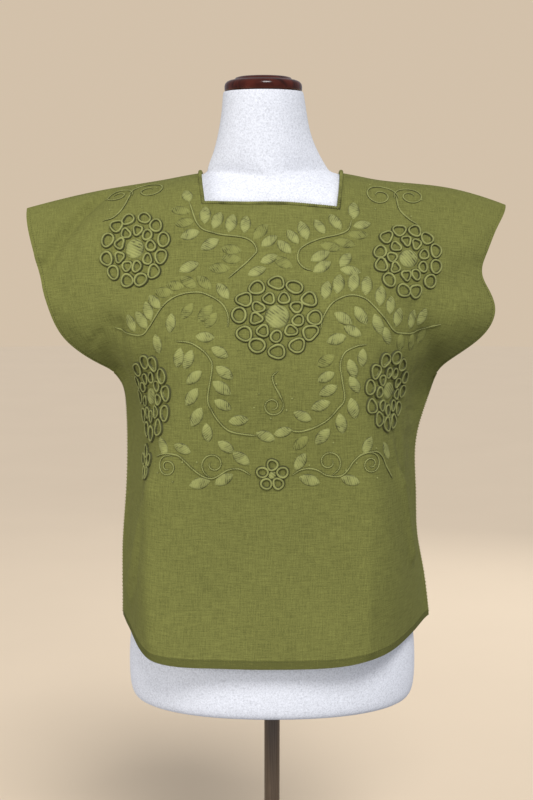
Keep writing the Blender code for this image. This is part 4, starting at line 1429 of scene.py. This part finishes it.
# Soft lights: where they are, how high on the stand's axis they aim, their side, power and colour.
AreaLight = namedtuple("AreaLight", "name place aim size power colour")
AREA_LIGHTS = [
    AreaLight("fill", (-2.0, -1.7, 0.9), 0.5, 1.2, 30, (1, 0.98, 0.94)),
    AreaLight("low", (1.3, -2.0, 0.9), 0.45, 1.0, 8, (0.95, 0.98, 1)),
    AreaLight("back", (0.9, 2.2, 1.5), 0.8, 1.6, 14, (0.97, 0.99, 1)),
]


def add_camera():
    """The camera of the photograph, upright and turned down a little."""
    data = bpy.data.cameras.new("camera")
    data.lens = CAMERA_LENS
    made = add_object("camera", data)
    made.location = CAMERA_PLACE
    made.rotation_euler = (math.radians(90 - CAMERA_DOWN), 0, 0)
    bpy.context.scene.camera = made


def add_sun():
    """The key light."""
    data = bpy.data.lights.new("key", "SUN")
    data.energy = SUN_POWER
    data.angle = math.radians(SUN_SPREAD)
    add_object("key", data).rotation_euler = Vector(SUN_FROM).to_track_quat("Z", "Y").to_euler()


def add_surroundings():
    """A neutral sky. Beyond the floor the camera alone sees the floor's own lit colour."""
    world = bpy.data.worlds.new("studio")
    bpy.context.scene.world = world
    world.use_nodes = True
    nodes, links = world.node_tree.nodes, world.node_tree.links
    sky, beyond = nodes["Background"], nodes.new("ShaderNodeBackground")
    sky.inputs[0].default_value = (*SKY_COLOUR, 1)
    sky.inputs[1].default_value = SKY_POWER
    sun_down = Vector(SUN_FROM).normalized().z * SUN_POWER / math.pi
    lit = [f * (s * SKY_POWER + sun_down) for f, s in zip(FLOOR_COLOUR, SKY_COLOUR)]
    beyond.inputs[0].default_value = (*lit, 1)
    ray, mix = nodes.new("ShaderNodeLightPath"), nodes.new("ShaderNodeMixShader")
    links.new(ray.outputs["Is Camera Ray"], mix.inputs[0])
    links.new(sky.outputs[0], mix.inputs[1])
    links.new(beyond.outputs[0], mix.inputs[2])
    links.new(mix.outputs[0], nodes["World Output"].inputs[0])


def add_floor():
    """The floor takes shadows but throws no light up under the cloth."""
    mesh = bpy.data.meshes.new("floor")
    corners = circle_points(FLOOR_RADIUS, 0, FLOOR_SIDES).tolist()
    mesh.from_pydata(corners, [], [list(range(FLOOR_SIDES))])
    mesh.materials.append(floor_material())
    made = add_object("floor", mesh)
    made.visible_diffuse = False


def main():
    """Sets up the studio, then dresses the stand from the cloth outwards."""
    bpy.context.scene.view_settings.view_transform = "Standard"
    add_camera()
    add_sun()
    for light in AREA_LIGHTS:
        area_light(light)
    add_surroundings()
    add_floor()
    front = Cloth(FRONT_TURNS, -1, FRONT_FOLDS + FRONT_CREASES, True)
    back = Cloth(BACK_TURNS, 1, BACK_FOLDS + BACK_CREASES, False)
    cotton = cloth_material()
    floss = thread_material("olive_floss", THREAD_COLOUR, 0.0005, 0.7)
    flat_floss = thread_material("olive_floss_flat", FLAT_THREAD_COLOUR, 0.0005, 0.8)
    whipping = thread_material("olive_whipping", CLOTH_COLOUR, 0.0006, 0.85)
    sewing = thread_material("olive_sewing", CLOTH_COLOUR, 0.0004, 0.85)
    front_piece, front_flat, front_area = panel(
        "front_cloth", "front_panel", front, FRONT_NECK_HEIGHT, *FRONT_GRID, cotton
    )
    back_piece, back_flat, back_area = panel(
        "back_cloth", "back_panel", back, BACK_NECK_HEIGHT, *BACK_GRID, cotton
    )
    sewn = sew_rosettes(front, floss) + sew_vines(front, floss, flat_floss)
    sewn.append(sew_hems(front, "front_hem_stitches", sewing))
    back_stitches = sew_hems(back, "back_hem_stitches", sewing)
    bind_neck(front, back, whipping)
    overcast_sides(front, back, whipping)
    dress_form(front, linen_material())
    stand(wood_material(), steel_material())


main()
